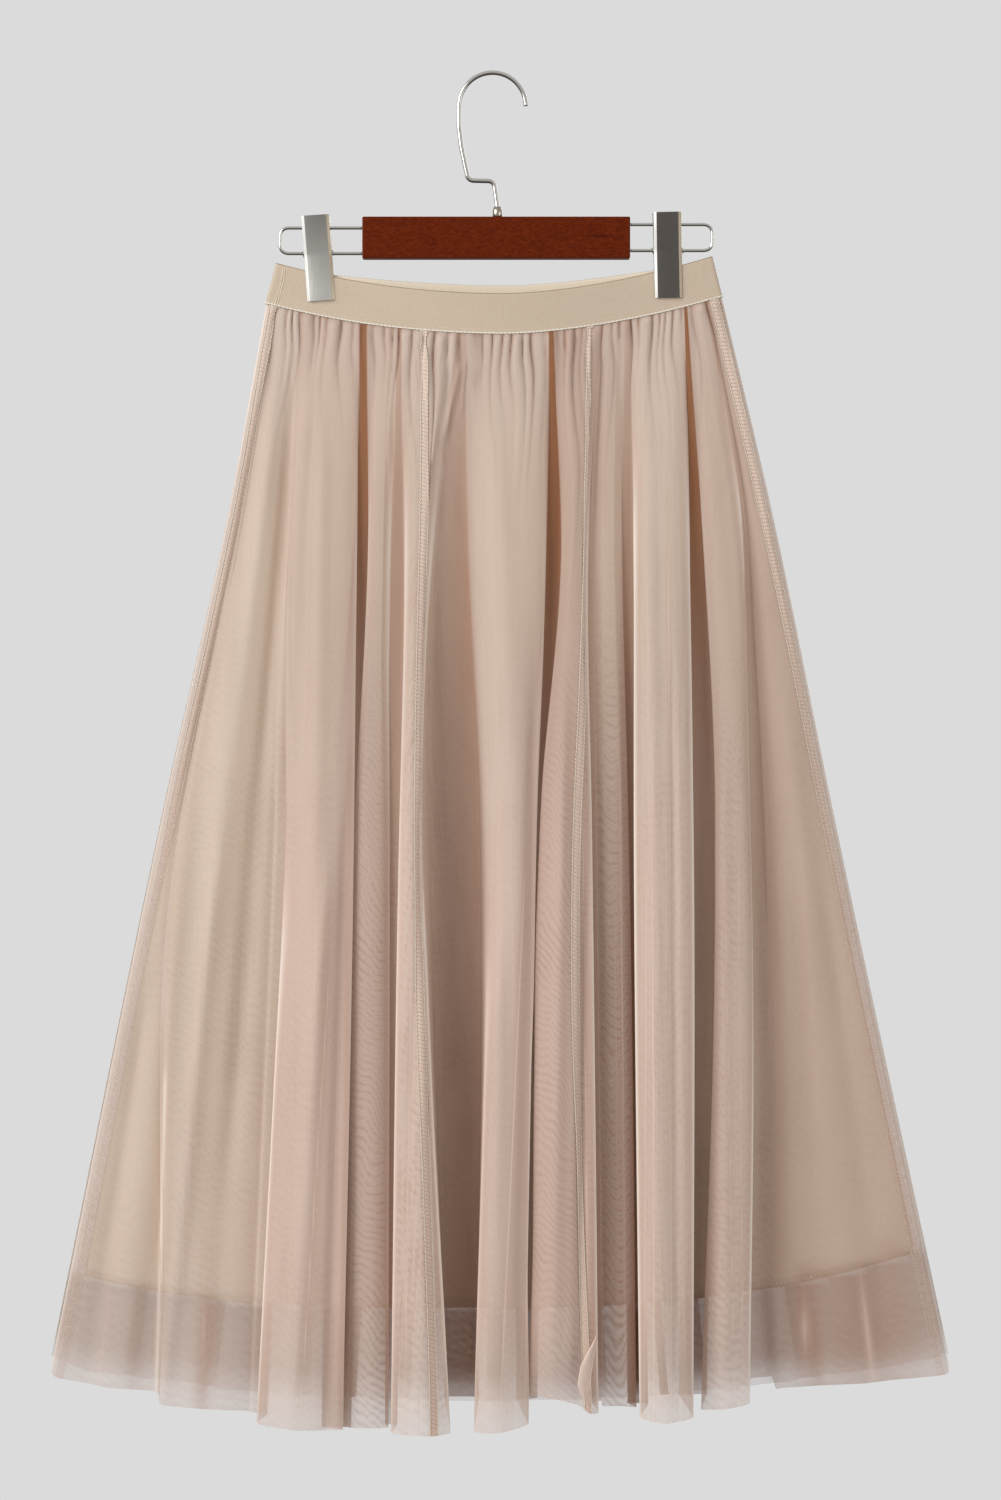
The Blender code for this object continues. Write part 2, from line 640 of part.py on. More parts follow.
def build():
    clear_scene()
    net = make_material("tulle", (0.68, 0.53, 0.44), 0.9)
    lining = make_material("lining", (0.68, 0.54, 0.38), 0.85)
    elastic = make_material("elastic", (0.66, 0.53, 0.37), 0.8)
    wood = make_material("mahogany", (0.11, 0.018, 0.008), 0.35)
    steel = make_material("clip_steel", (0.42, 0.42, 0.41), 0.32, 1.0)
    wire = make_material("bright_wire", (0.75, 0.73, 0.70), 0.15, 1.0)
    nickel = make_material("nickel", (0.62, 0.56, 0.48), 0.25, 1.0)
    hanging = bpy.data.objects.new("hanging_point", None)
    bpy.context.scene.collection.objects.link(hanging)
    make_hook(wire, hanging)
    make_nut(nickel, hanging)
    make_bar(wood, hanging)
    for side in ("left", "right"):
        make_loop(side, wire, hanging)
        make_clip(side, steel, nickel, hanging)
    make_waistband(elastic, hanging)
    make_lining("front", False, lining, hanging)
    make_lining("back", True, lining, hanging)
    make_net("front", FRONT_FOLDS, False, net, hanging)
    make_net("back", BACK_FOLDS, True, net, hanging)


build()
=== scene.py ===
# The looks of a tulle midi skirt on its clip hanger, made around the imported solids.
# Tables are in millimetres from the point inside the hook where the hanger hangs:
# x to the right, y to the back, z up. mm turns them into metres.
from collections import namedtuple
from math import atan2, hypot, pi, radians

import bmesh
import bpy
import numpy as np
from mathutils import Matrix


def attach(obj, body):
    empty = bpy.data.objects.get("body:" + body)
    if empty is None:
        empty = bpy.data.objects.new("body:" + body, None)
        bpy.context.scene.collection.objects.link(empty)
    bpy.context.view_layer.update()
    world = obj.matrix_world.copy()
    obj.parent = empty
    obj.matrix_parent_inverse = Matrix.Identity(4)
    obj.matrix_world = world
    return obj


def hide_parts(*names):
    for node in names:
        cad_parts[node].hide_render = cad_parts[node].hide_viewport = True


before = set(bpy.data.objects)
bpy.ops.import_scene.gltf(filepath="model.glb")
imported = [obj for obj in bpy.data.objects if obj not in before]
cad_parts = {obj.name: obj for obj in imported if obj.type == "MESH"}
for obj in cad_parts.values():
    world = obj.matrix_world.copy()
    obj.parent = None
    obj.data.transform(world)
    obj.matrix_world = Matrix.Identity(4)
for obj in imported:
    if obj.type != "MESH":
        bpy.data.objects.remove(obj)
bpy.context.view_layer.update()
mm = 0.001
dice = np.random.default_rng(11)  # every random draw below comes from this seed


# Camera: the photograph's square-on view, 1.05 m high at the hanger's plane

view = {"x": 5.6, "distance": 2600.0, "z": -472.5, "height": 1050.0, "sensor": 36.0}


def placeCamera():
    data = bpy.data.cameras.new("camera")
    data.sensor_fit = "VERTICAL"
    data.sensor_height = view["sensor"]
    data.lens = view["sensor"] * view["distance"] / view["height"]
    data.clip_end = 50.0
    camera = bpy.data.objects.new("camera", data)
    camera.location = (view["x"] * mm, -view["distance"] * mm, view["z"] * mm)
    camera.rotation_euler = (pi / 2, 0.0, 0.0)
    bpy.context.scene.collection.objects.link(camera)
    bpy.context.scene.camera = camera


# Meshes from grids of points


# 3 s squared - 2 s cubed, with s kept between 0 and 1
def smooth(share):
    share = np.clip(share, 0.0, 1.0)
    return share * share * (3.0 - 2.0 * share)


def unit(vectors):
    return vectors / (np.linalg.norm(vectors, axis=-1, keepdims=True) + 1e-9)


# How far along its line each point lies: the lengths of the steps before it, added up
def distancesAlong(points):
    steps = np.linalg.norm(np.diff(points, axis=-2), axis=-1)
    return np.concatenate([np.zeros_like(steps[..., :1]), np.cumsum(steps, axis=-1)], axis=-1)


def linkObject(name, mesh, material):
    mesh.materials.append(material)
    made = bpy.data.objects.new(name, mesh)
    bpy.context.scene.collection.objects.link(made)
    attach(made, "root")
    return made


# Quads over points, with a value at each point for every mark
def quadObject(name, points, corners, material, marks, uv=None):
    mesh = bpy.data.meshes.new(name)
    mesh.vertices.add(points.size // 3)
    mesh.vertices.foreach_set("co", (points * mm).ravel())
    mesh.loops.add(len(corners))
    mesh.loops.foreach_set("vertex_index", corners)
    mesh.polygons.add(len(corners) // 4)
    mesh.polygons.foreach_set("loop_start", np.arange(0, len(corners), 4))
    mesh.polygons.foreach_set("use_smooth", np.ones(len(corners) // 4, bool))
    if uv is not None:
        mesh.uv_layers.new(name="cloth").data.foreach_set("uv", (uv * mm).ravel())
    for mark, values in marks.items():
        slot = mesh.attributes.new(mark, "FLOAT", "POINT")
        slot.data.foreach_set("value", values.ravel())
    mesh.update(calc_edges=True)
    mesh.validate()
    return linkObject(name, mesh, material)


# A surface over points [rows, columns, 3]: one quad between each four neighbours
def gridObject(name, points, material, uv=None, marks=None, around=False, flip=False):
    rows, columns = points.shape[:2]

    def corners(width):
        index = np.arange(rows * width).reshape(rows, width)
        if around and width == columns:
            index = np.concatenate([index, index[:, :1]], axis=1)
        a, b, c, d = index[:-1, :-1], index[:-1, 1:], index[1:, 1:], index[1:, :-1]
        return np.stack([a, d, c, b] if flip else [a, b, c, d], axis=-1).ravel()

    spread = {mark: np.broadcast_to(values, (rows, columns)) for mark, values in (marks or {}).items()}
    laid = None if uv is None else uv.reshape(-1, 2)[corners(uv.shape[1])]
    return quadObject(name, points, corners(columns), material, spread, laid)


# Merges points that meet and turns the faces outwards
def closeUp(made, reach=0.0005):
    work = bmesh.new()
    work.from_mesh(made.data)
    bmesh.ops.remove_doubles(work, verts=work.verts, dist=reach * mm)
    bmesh.ops.recalc_face_normals(work, faces=work.faces)
    work.to_mesh(made.data)
    work.free()
    return made


# Round tubes: a ring of points about each of the path's points [tubes, steps, 3], square to the
# path and turned by the up vectors, its radius given by step
def tubesObject(name, paths, ups, radii, sides, material, marks=None):
    tangent = unit(np.gradient(paths, axis=1))
    side = unit(np.cross(tangent, ups))
    up = np.cross(side, tangent)
    turn = np.arange(sides)[:, None] / sides * 2.0 * pi
    ring = side[:, :, None] * np.cos(turn) + up[:, :, None] * np.sin(turn)
    points = paths[:, :, None] + ring * np.asarray(radii, float)[..., None, None]
    index = np.arange(points.size // 3).reshape(points.shape[:3])
    after = np.roll(index, -1, axis=2)
    quads = np.stack([index[:, :-1], after[:, :-1], after[:, 1:], index[:, 1:]], axis=-1)
    spread = {mark: np.repeat(values.ravel(), sides) for mark, values in (marks or {}).items()}
    return closeUp(quadObject(name, points, quads.ravel(), material, spread))


# Materials


# A colour as it looks on screen, 0 to 255, turned into the renderer's linear values
def seen(red, green, blue):
    share = (np.array([red, green, blue]) / 255.0 + 0.055) / 1.055
    return (*(share**2.4), 1.0)


# A material of one Principled shader, with short ways to add and join nodes
class Finish:
    def __init__(self, name, colour, roughness, metallic=0.0):
        self.material = bpy.data.materials.new(name)
        self.material.use_nodes = True
        self.nodes = self.material.node_tree.nodes
        self.shader = self.nodes["Principled BSDF"]
        self.set("Base Color", colour)
        self.set("Roughness", roughness)
        self.set("Metallic", metallic)

    def set(self, socket, value):
        self.shader.inputs[socket].default_value = value

    def join(self, source, target):
        self.material.node_tree.links.new(source, target)

    def drive(self, socket, source):
        self.join(source, self.shader.inputs[socket])

    # Adds a node, sets its properties, then its inputs from values or from other nodes' sockets
    def add(self, kind, inputs=None, **settings):
        node = self.nodes.new("ShaderNode" + kind)
        for key, value in settings.items():
            setattr(node, key, value)
        for key, value in (inputs or {}).items():
            if isinstance(value, bpy.types.NodeSocket):
                self.join(value, node.inputs[key])
            else:
                node.inputs[key].default_value = value
        return node

    def mark(self, name):
        return self.add("Attribute", attribute_name=name).outputs["Fac"]

    def math(self, operation, first, second=0.0, third=0.0):
        return self.add("Math", {0: first, 1: second, 2: third}, operation=operation).outputs[0]

    def times(self, first, second):
        return self.math("MULTIPLY", first, second)

    # first + value * amount, for each value and amount given
    def plus(self, first, *terms):
        for value, amount in zip(terms[::2], terms[1::2]):
            first = self.math("MULTIPLY_ADD", value, amount, first)
        return first

    def between(self, low, value, high):
        return self.math("MINIMUM", self.math("MAXIMUM", value, low), high)

    # A colour with others laid over it, each by its share
    def tint(self, colour, *layers):
        colour = seen(*colour)
        for share, over in layers:
            node = self.add("Mix", {0: share, 6: colour, 7: seen(*over)}, data_type="RGBA")
            colour = node.outputs[2]
        return colour

    def paint(self, colour, *layers):
        self.drive("Base Color", self.tint(colour, *layers))

    # One axis of a vector: 0 is x, 1 is y, 2 is z
    def axis(self, vector, which):
        return self.add("SeparateXYZ", {0: vector}).outputs[which]

    # A wave along an axis of the cloth, its length in millimetres
    def wave(self, which, length, turn=0.0):
        along = self.axis(self.cloth((1.0, 1.0, 1.0), turn), which)
        return self.math("SINE", self.times(along, 2000.0 * pi / length))

    def cloth(self, scale=(1.0, 1.0, 1.0), turn=0.0):
        uv = self.add("UVMap", uv_map="cloth").outputs[0]
        inputs = {"Vector": uv, "Scale": scale, "Rotation": (0.0, 0.0, radians(turn))}
        return self.add("Mapping", inputs).outputs[0]

    def place(self, scale=(1.0, 1.0, 1.0)):
        spot = self.add("TexCoord").outputs["Object"]
        return self.add("Mapping", {"Vector": spot, "Scale": scale}).outputs[0]

    def noise(self, vector, scale, detail=2.0, roughness=0.5):
        inputs = {"Vector": vector, "Scale": scale, "Detail": detail, "Roughness": roughness}
        return self.add("TexNoise", inputs).outputs["Fac"]

    def bumps(self, height, strength, distance):
        node = self.add("Bump", {"Height": height, "Strength": strength, "Distance": distance * mm})
        self.drive("Normal", node.outputs[0])


# Net: see-through, denser and paler on fold edges, where it is seen edge-on and carries a painted
# highlight. Painted shade makes it brown in the hollows, in the troughs of the gathers and under
# the band. It is greyer where no lining is behind it and pinker by its tone, both partly painted
# shade, with soft moire where layers overlap. Its mark thin lets the cloth fade out
tulleLook = {
    "colour": (234, 217, 205), "tone": (200, 164, 148), "deep": (228, 200, 186), "bare": (172, 137, 116),
    "hollow": (158, 106, 72), "trough": (130, 92, 66), "edge": (253, 244, 234), "beside": (216, 168, 142),
    "grain": (160, 122, 104), "blush": 0.5, "layers": 0.26, "moire": 0.27, "open": 0.52, "cell": 1.25,
    "cellDepth": 0.10, "arcPitch": 800.0, "strandPitch": 1250.0, "strandSlant": 58.0, "roughness": 0.85,
}


def makeTulle():
    look = tulleLook
    finish = Finish("tulleNet", seen(*look["colour"]), look["roughness"])
    mark, tone, shade, bare, deep, trough = (
        finish.mark(name) for name in ("edge", "tone", "shade", "bare", "deep", "trough"))
    edge = finish.math("POWER", mark, 2.6)
    beside = finish.times(finish.times(mark, finish.math("SUBTRACT", 1.0, edge)), 0.55)
    # Moire: nested arcs down each fold, strands at a slant, and long broken streaks
    bend = finish.noise(finish.cloth((1.0, 0.30, 1.0)), 34.0)
    arc = finish.math("POWER", finish.mark("arc"), 1.4)
    down = finish.times(finish.axis(finish.cloth(), 1), look["arcPitch"])
    arcs = finish.math("SINE", finish.plus(down, arc, 9.0, bend, 42.0))
    slant = finish.axis(finish.cloth(turn=look["strandSlant"]), 0)
    strands = finish.math("SINE", finish.plus(finish.times(slant, look["strandPitch"]), bend, 52.0))
    patch = finish.times(finish.noise(finish.cloth((1.0, 0.4, 1.0)), 70.0), 1.6)
    streaks = finish.noise(finish.cloth((1.0, 0.045, 1.0)), 420.0, 3.0, 0.7)
    streaks = finish.times(finish.math("SUBTRACT", streaks, 0.5), 5.0)
    more = finish.times(bare, 0.3)
    grain = finish.plus(
        finish.times(arcs, finish.math("ADD", finish.mark("arcs"), more)),
        finish.times(finish.times(strands, patch), finish.math("ADD", finish.mark("strands"), more)), 1.0,
        finish.times(streaks, finish.mark("streaks")), 1.0)
    grain = finish.times(grain, finish.plus(1.0, bare, -0.55))
    broad = finish.noise(finish.cloth((1.0, 0.35, 1.0)), 20.0, 3.0, 0.55)
    fuzz = finish.noise(finish.cloth(), 900.0, 2.0, 0.6)
    dark = finish.plus(-0.375, grain, look["moire"], broad, 0.45, fuzz, 0.5)
    # Painted light in the colour: hollow (by mark shade) and trough are painted shade, tone and bare partly
    # painted shade, edge a painted highlight on denser net
    finish.paint(
        look["colour"], (tone, look["tone"]), (finish.times(deep, look["blush"]), look["deep"]),
        (finish.times(bare, 0.75), look["bare"]),
        (finish.times(shade, finish.plus(1.0, bare, -0.25)), look["hollow"]),
        (finish.times(trough, 0.85), look["trough"]), (finish.math("MAXIMUM", dark, 0.0), look["grain"]),
        (beside, look["beside"]), (finish.times(edge, 0.85), look["edge"]))
    # Cells: a lattice of threads on the two diagonals
    cells = [finish.math("ABSOLUTE", finish.wave(0, 2.0 * look["cell"], turn)) for turn in (45.0, -45.0)]
    lattice = finish.math("SUBTRACT", 1.0, finish.math("MINIMUM", *cells))
    alpha = finish.plus(
        look["open"] - 0.5 * look["cellDepth"], lattice, look["cellDepth"], edge, 0.30,
        finish.times(shade, finish.plus(0.20, bare, 0.5)), 1.0, trough, 0.20, deep, look["layers"],
        dark, 0.25, finish.mark("dense"), 0.30)
    alpha = finish.times(alpha, finish.plus(1.0, finish.mark("thin"), -1.0))
    finish.drive("Alpha", finish.between(0.05, alpha, 1.0))
    finish.set("Sheen Weight", 0.08)
    finish.set("Specular IOR Level", 0.1)
    finish.bumps(lattice, 0.12, 0.2)
    return finish.material


# Lining: an opaque fine knit, shaded where the net's deep hollows keep the light off it
liningLook = {
    "colour": (232, 213, 188), "cloud": (210, 187, 158), "hollow": (162, 108, 74), "wale": 1.1, "courses": 1.2,
    "roughness": 0.85,
}


def makeLining():
    look = liningLook
    finish = Finish("liningKnit", seen(*look["colour"]), look["roughness"])
    cloud = finish.times(finish.noise(finish.cloth((1.0, 0.4, 1.0)), 30.0, 3.0), 0.25)
    finish.paint(look["colour"], (cloud, look["cloud"]), (finish.mark("shade"), look["hollow"]))
    wales, courses = finish.wave(0, look["wale"]), finish.wave(1, look["wale"] / look["courses"])
    finish.bumps(finish.plus(wales, courses, 0.5), 0.3, 0.15)
    finish.set("Sheen Weight", 0.2)
    return finish.material


# Elastic: close vertical cords crossed by fine picks, with painted light making its inner side paler
elasticLook = {
    "light": (213, 196, 175), "dark": (188, 168, 145), "inner": (255, 243, 222), "cord": 1.15, "pick": 0.9,
    "roughness": 0.8,
}


def makeElastic():
    look = elasticLook
    finish = Finish("flatElastic", seen(*look["light"]), look["roughness"])
    cords, picks = finish.wave(0, look["cord"]), finish.wave(1, look["pick"])
    cloud = finish.noise(finish.cloth(), 420.0, 3.0, 0.7)
    broad = finish.noise(finish.cloth((0.4, 1.0, 1.0)), 45.0)
    share = finish.plus(finish.times(cloud, 0.45), broad, 0.35, finish.times(cords, picks), 0.08)
    finish.paint(look["light"], (share, look["dark"]), (finish.mark("inner"), look["inner"]))
    finish.bumps(finish.plus(cords, picks, 0.6), 0.35, 0.18)
    finish.set("Sheen Weight", 0.25)
    return finish.material


# Thread: its tone twists, and its mark shade paints shade on it where it lies behind the net's hollows
def makeThread(name, colour):
    finish = Finish(name, seen(*colour), 0.7)
    twist = finish.noise(finish.place(), 900.0)
    finish.paint(colour, (twist, 0.86 * np.array(colour)), (finish.mark("shade"), liningLook["hollow"]))
    finish.set("Sheen Weight", 0.3)
    return finish.material


# Wood: red-brown stain, speckled by fine pores, with one dark fleck near the bar's right end
barLook = {
    "colour": (94, 30, 5), "dark": (66, 14, 1), "light": (120, 46, 12), "fleck": (58, 18, 8),
    "fleckAt": (0.0745, -0.006, -0.1135), "fleckShape": (90.0, 60.0, 900.0),
}


def makeWood():
    look = barLook
    finish = Finish("stainedWood", seen(*look["colour"]), 0.5)
    finish.set("Specular IOR Level", 0.05)
    pores = finish.noise(finish.place((0.35, 1.0, 1.0)), 900.0, 4.0, 0.7)
    figure = finish.noise(finish.place((0.12, 1.0, 1.0)), 160.0, 3.0, 0.6)
    spot = finish.add("TexCoord").outputs["Object"]
    away = finish.add("VectorMath", {0: spot, 1: look["fleckAt"]}, operation="SUBTRACT").outputs[0]
    near = finish.add("VectorMath", {0: away, 1: look["fleckShape"]}, operation="MULTIPLY").outputs[0]
    far = finish.add("VectorMath", {0: near}, operation="LENGTH").outputs["Value"]
    wobble = finish.noise(finish.place((0.5, 1.0, 3.0)), 500.0, 3.0)
    fleck = finish.plus(1.92, far, -1.2, wobble, -1.44)
    finish.paint(
        look["dark"], (finish.plus(-0.6, pores, 2.2), look["light"]),
        (finish.times(figure, 0.5), look["colour"]), (finish.between(0.0, fleck, 0.8), look["fleck"]))
    finish.drive("Roughness", finish.plus(0.42, pores, 0.2))
    finish.bumps(pores, 0.12, 0.1)
    finish.set("Coat Weight", 0.02)
    finish.set("Coat Roughness", 0.3)
    return finish.material


# Plated steel: drawn along its length, with fine specks, and another tone above its middle, a painted shade
def makeSteel(name, colour, roughness, speck, upper=None, metallic=1.0):
    finish = Finish(name, seen(*colour), roughness, metallic)
    drawn = finish.noise(finish.place((1.0, 1.0, 0.06)), 1400.0, 3.0, 0.6)
    specks = finish.noise(finish.place(), 700.0, 4.0, 0.75)
    height = finish.axis(finish.add("TexCoord").outputs["Object"], 2)
    rise = finish.add("MapRange", {0: height, 1: -0.15, 2: -0.1, 3: 0.0, 4: 1.0}).outputs[0]
    finish.paint(colour, (rise, upper or colour), (finish.times(specks, speck), 0.78 * np.array(colour)))
    finish.drive("Roughness", finish.plus(roughness - 0.08, drawn, 0.16))
    finish.bumps(finish.plus(drawn, specks, 0.6), 0.06, 0.08)
    return finish.material


# Bright wire, with a painted reflection: its lower side is painted dark for what it would mirror below it
def makeWire():
    finish = Finish("brightWire", seen(226, 223, 218), 0.12, 1.0)
    up = finish.axis(finish.add("NewGeometry").outputs["Normal"], 2)
    low = finish.add("MapRange", {0: up, 1: 0.15, 2: -0.45, 3: 0.0, 4: 0.9}).outputs[0]
    finish.paint((240, 237, 232), (low, (70, 58, 50)))
    finish.drive("Roughness", finish.plus(0.1, finish.noise(finish.place(), 500.0, 3.0), 0.16))
    return finish.material


# The fall of the cloth: stations where the tables give values, and a cubic curve through them
# that takes its slope at each from the values on both sides

stations = (0.0, 0.205, 0.47, 1.0)


def along(share, values):
    values = np.asarray(values, float)
    slopes = np.gradient(values, stations)
    place = np.clip(np.searchsorted(stations, share, side="right") - 1, 0, len(stations) - 2)
    width = np.diff(stations)[place]
    u = (share - np.array(stations)[place]) / width
    return (
        values[place] * (1 + 2 * u) * (1 - u) ** 2 + slopes[place] * width * u * (1 - u) ** 2
        + values[place + 1] * u * u * (3 - 2 * u) - slopes[place + 1] * width * u * u * (1 - u)
    )


# Waistband: where its lower edge runs, and how far it stands open between the clips
band = {
    "left": -158.9, "right": 161.0, "low": -182.0, "lowX": 9.0, "riseLeft": 21.9, "riseRight": 26.6,
    "powerLeft": 2.0, "powerRight": 1.65, "height": 28.2, "wall": 1.8, "topShare": 0.956,
    "backRise": 7.0, "riseHalf": 134.0, "mouthX": 1.4, "mouthHalf": 110.0, "mouthDepth": 4.7,
    "clamped": 0.3, "columns": 210, "endSteps": 13, "edge": 0.7, "edgeSteps": 5, "twists": 1400,
    "picot": 0.6, "upperEdge": 0.34, "stitches": 300, "stitchRise": 3.0, "stitch": 0.22,
    "joinX": -145.8, "joinLean": 6.0, "joinHalf": 0.7, "join": 0.3,
}


# How far the band stands open at x: the gap where it is clamped, and the full depth times
# 1 - (distance from the middle / half width) squared, to the power 1.5
def mouth(x):
    share = np.clip(1.0 - ((x - band["mouthX"]) / band["mouthHalf"]) ** 2, 0.0, 1.0)
    return band["clamped"] + band["mouthDepth"] * share**1.5


# Height of the band's lower edge: a power of the distance from its lowest point on each side,
# and a parabola more at the back
def bandLow(x, back):
    left = np.clip((band["lowX"] - x) / (band["lowX"] - band["left"]), 0.0, None)
    right = np.clip((x - band["lowX"]) / (band["right"] - band["lowX"]), 0.0, None)
    rise = band["riseLeft"] * left ** band["powerLeft"] + band["riseRight"] * right ** band["powerRight"]
    lift = band["backRise"] * np.clip(1.0 - ((x - band["mouthX"]) / band["riseHalf"]) ** 2, 0.0, None)
    return band["low"] + rise + lift * back


# The folds of the net. left and right are the x of a fold's front edges at the band, hip, knee
# and hem; depth is how far it stands out at the hip, knee and hem, valley the same for the
# hollow after it. tuck is how far that hollow runs behind its two folds at the hem, hem the
# drop below the hook. tone, moire, dark and rim are the finish: how pink and dark the fold
# looks, from its layers of net and partly painted shade, how much of the three moires shows in
# it (arcs, strands, streaks), the painted shade in the hollow after it at the band, hip, knee
# and hem, and how light its left and right edges are, by denser net and a painted highlight.
Fold = namedtuple("Fold", "name left right depth valley tuck hem tone moire dark rim")

frontFolds = (
    Fold("sideLeft", (-158.4, -186, -229, -308.7), (-151.6, -178, -217, -233),
         (10, 14, 15), (9, 13, 19), (0, 0), 916, 0, (0.15, 0.15, 0.2), (0.1, 0.1, 0, 0),
         (0.3, 0.15)),
    Fold("hipLeft", (-150, -175, -213, -229), (-134.6, -145, -152, -168),
         (12, 19, 35), (12, 18, 34), (0, 9), 928, 0, (0.16, 0.3, 0.25), (0.2, 0.05, 0, 0),
         (0.25, 0.15)),
    Fold("broadLeft", (-131.5, -140, -144, -161.8), (-94.2, -93.5, -94.6, -101.6),
         (20, 40, 66), (9, 22, 42), (16, 7), 937, 0.26, (0.15, 0.15, 0.25), (1, 0.9, 0.1, 0),
         (0.9, 0.85)),
    Fold("stripLeft", (-86.5, -87, -97, -103.5), (-66.5, -71.5, -70.5, -71),
         (16, 33, 52), (12, 25, 42), (4, 5), 938, 0.32, (0.25, 1, 0.3), (0.3, 0.5, 0.3, 0.2),
         (0.75, 0.95)),
    Fold("seamLeft", (-63, -61, -65, -69.6), (-27, -42, -46.5, -28.4),
         (20, 46, 76), (9, 14, 22), (10, 9), 939, 0.1, (0.3, 0.3, 1), (0.25, 0.66, 0.58, 0.58),
         (0.85, 1)),
    Fold("centre", (-16.5, -13.8, -4.6, -12.1), (38.4, 37.5, 32.6, 25.2),
         (22, 46, 74), (9, 24, 46), (9, 8), 937, 0.15, (0.1, 0.1, 0.3), (1, 0.95, 0.5, 0.05),
         (0.75, 0.8)),
    Fold("seamRight", (43.5, 47.9, 30.6, 23.4), (75.4, 67.3, 69.5, 73),
         (21, 44, 68), (15, 27, 42), (6, 0), 927, 0.5, (0.1, 0.8, 0.4), (0.15, 0.3, 0.3, 0.25),
         (0.5, 1)),
    Fold("stripRight", (77.6, 70.6, 72, 76), (90.8, 90.6, 95.4, 99.8),
         (15, 28, 44), (9, 15, 25), (7, 9), 924, 0.3, (1.3, 0.4, 0.3), (0.15, 0.5, 0.55, 0.6),
         (0.6, 0.6)),
    Fold("broadRight", (98.4, 97.8, 97, 100.2), (133.4, 137.3, 139.2, 137.6),
         (23, 46, 74), (9, 14, 22), (10, 8), 931, 0.05, (0.2, 0.15, 0.6), (1, 0.95, 0.45, 0.2),
         (1, 1)),
    Fold("hipRight", (136.6, 146.3, 154.7, 143.1), (148.6, 175, 182, 177),
         (14, 31, 56), (10, 15, 21), (5, 0), 924, 0.25, (0.3, 0.4, 0.4), (0.3, 0.4, 0.2, 0.15),
         (0.7, 1)),
    Fold("sideRight", (151.6, 178.9, 192.5, 198.8), (160.6, 196, 235.9, 319.2),
         (11, 16, 17), None, None, 913, 0.42, (0.12, 0.15, 0.2), None,
         (0.25, 0.35)),
)
backFolds = (
    Fold("sideLeft", (-158.4, -186, -229, -308.7), (-136, -163, -196, -262),
         (9, 12, 15), (8, 11, 14), (0, 0), 910, 0, (0.3, 0.1, 0.2), (0.2, 0.4, 0.3, 0.2),
         (0.3, 0.3)),
    Fold("broadLeft", (-130.5, -156, -187, -249), (-104, -122, -151, -204),
         (12, 17, 24), (8, 11, 14), (2, 2), 918, 0.1, (0.2, 0.5, 0.3), (0.3, 0.5, 0.4, 0.3),
         (0.5, 0.3)),
    Fold("slimLeft", (-98, -116, -144, -195), (-72, -87, -104, -141),
         (11, 16, 22), (8, 11, 14), (2, 2), 925, 0, (0.4, 0.2, 0.3), (0.2, 0.4, 0.4, 0.3),
         (0.3, 0.3)),
    Fold("seamLeft", (-66, -80, -96, -129), (-35, -41, -51, -70),
         (13, 19, 27), (8, 11, 14), (3, 3), 930, 0.1, (0.2, 0.4, 0.7), (0.4, 0.6, 0.5, 0.4),
         (0.4, 0.6)),
    Fold("centreLeft", (-29, -34, -42, -58), (-2, -2, -3, -5),
         (11, 17, 23), (8, 11, 14), (2, 3), 932, 0, (0.3, 0.2, 0.3), (0.2, 0.5, 0.4, 0.4),
         (0.3, 0.4)),
    Fold("centreRight", (4, 5, 6, 8), (35, 42, 51, 70),
         (13, 18, 26), (8, 11, 14), (3, 2), 932, 0.1, (0.2, 0.5, 0.4), (0.3, 0.5, 0.5, 0.4),
         (0.4, 0.3)),
    Fold("seamRight", (41, 50, 61, 82), (69, 83, 100, 139),
         (12, 18, 25), (8, 11, 14), (2, 2), 929, 0.1, (0.6, 0.3, 0.5), (0.4, 0.6, 0.5, 0.4),
         (0.6, 0.4)),
    Fold("broadRight", (75, 91, 110, 153), (105, 127, 154, 214),
         (12, 16, 23), (8, 11, 14), (2, 2), 921, 0, (0.3, 0.2, 0.3), (0.2, 0.4, 0.4, 0.3),
         (0.3, 0.5)),
    Fold("sideRight", (111, 134, 164, 228), (160.6, 196, 235.9, 319.2),
         (10, 12, 15), None, None, 908, 0, (0.3, 0.1, 0.2), None,
         (0.3, 0.3)),
)

# Net. lookDown is how much higher the lining's hem shows for each millimetre that it lies behind
# the net. lean is how much lighter the painted shade of a broad hollow is towards its left.
# softEdges names folds whose left edge is softer down to the knee, and lateRims the share of the
# fall from which that edge is light, with its painted highlight
net = {
    "wall": 1.0, "rows": 190, "rowPower": 1.25, "hemLeft": 903.0, "hemRight": 902.3, "backLift": 7.0,
    "hollowLift": 1.1, "crown": (0.34, 0.28, 0.16, 0.10), "corner": (7.0, 6.0, 4.5, 3.2),
    "cornerShare": 0.3, "hollowShare": 0.33, "crownPitch": 0.8, "turnSteps": 3, "turn": 1.5,
    "sideRoom": 4.0, "clear": 0.9, "seam": 0.3, "shell": 1.0, "lean": 0.7, "lookDown": 0.146,
    "softEdges": {"broadLeft": 1.6, "centre": 2.8}, "lateRims": {"broadLeft": 0.4, "centre": 0.45},
    "cuts": (("seamLeft", 2), ("seamRight", 3)),
}

# Lining: its inset from the net's outline, how far it stands out, and its hem
lining = {
    "wall": 1.0, "share": 0.9, "hemLeft": 840.0, "hemMiddle": 860.5, "hemRight": 824.0,
    "hemPower": (3.2, 2.2), "backLift": 5.0, "inset": (5.0, 6.0, 7.0, 9.0),
    "front": (7.0, 12.0, 18.0), "back": (5.5, 8.0, 11.0),
    "spread": (30.0, 60.0, 90.0, 120.0), "wave": (0.0, 0.9, 1.7, 2.6), "lengths": (97.0, 61.0),
    "secondWave": 0.6, "backShift": 2.0, "columns": 180, "rows": 110, "shell": 0.6,
}


# x of the skirt's left and right outline
def netEdges(share):
    return along(share, frontFolds[0].left), along(share, frontFolds[-1].right)


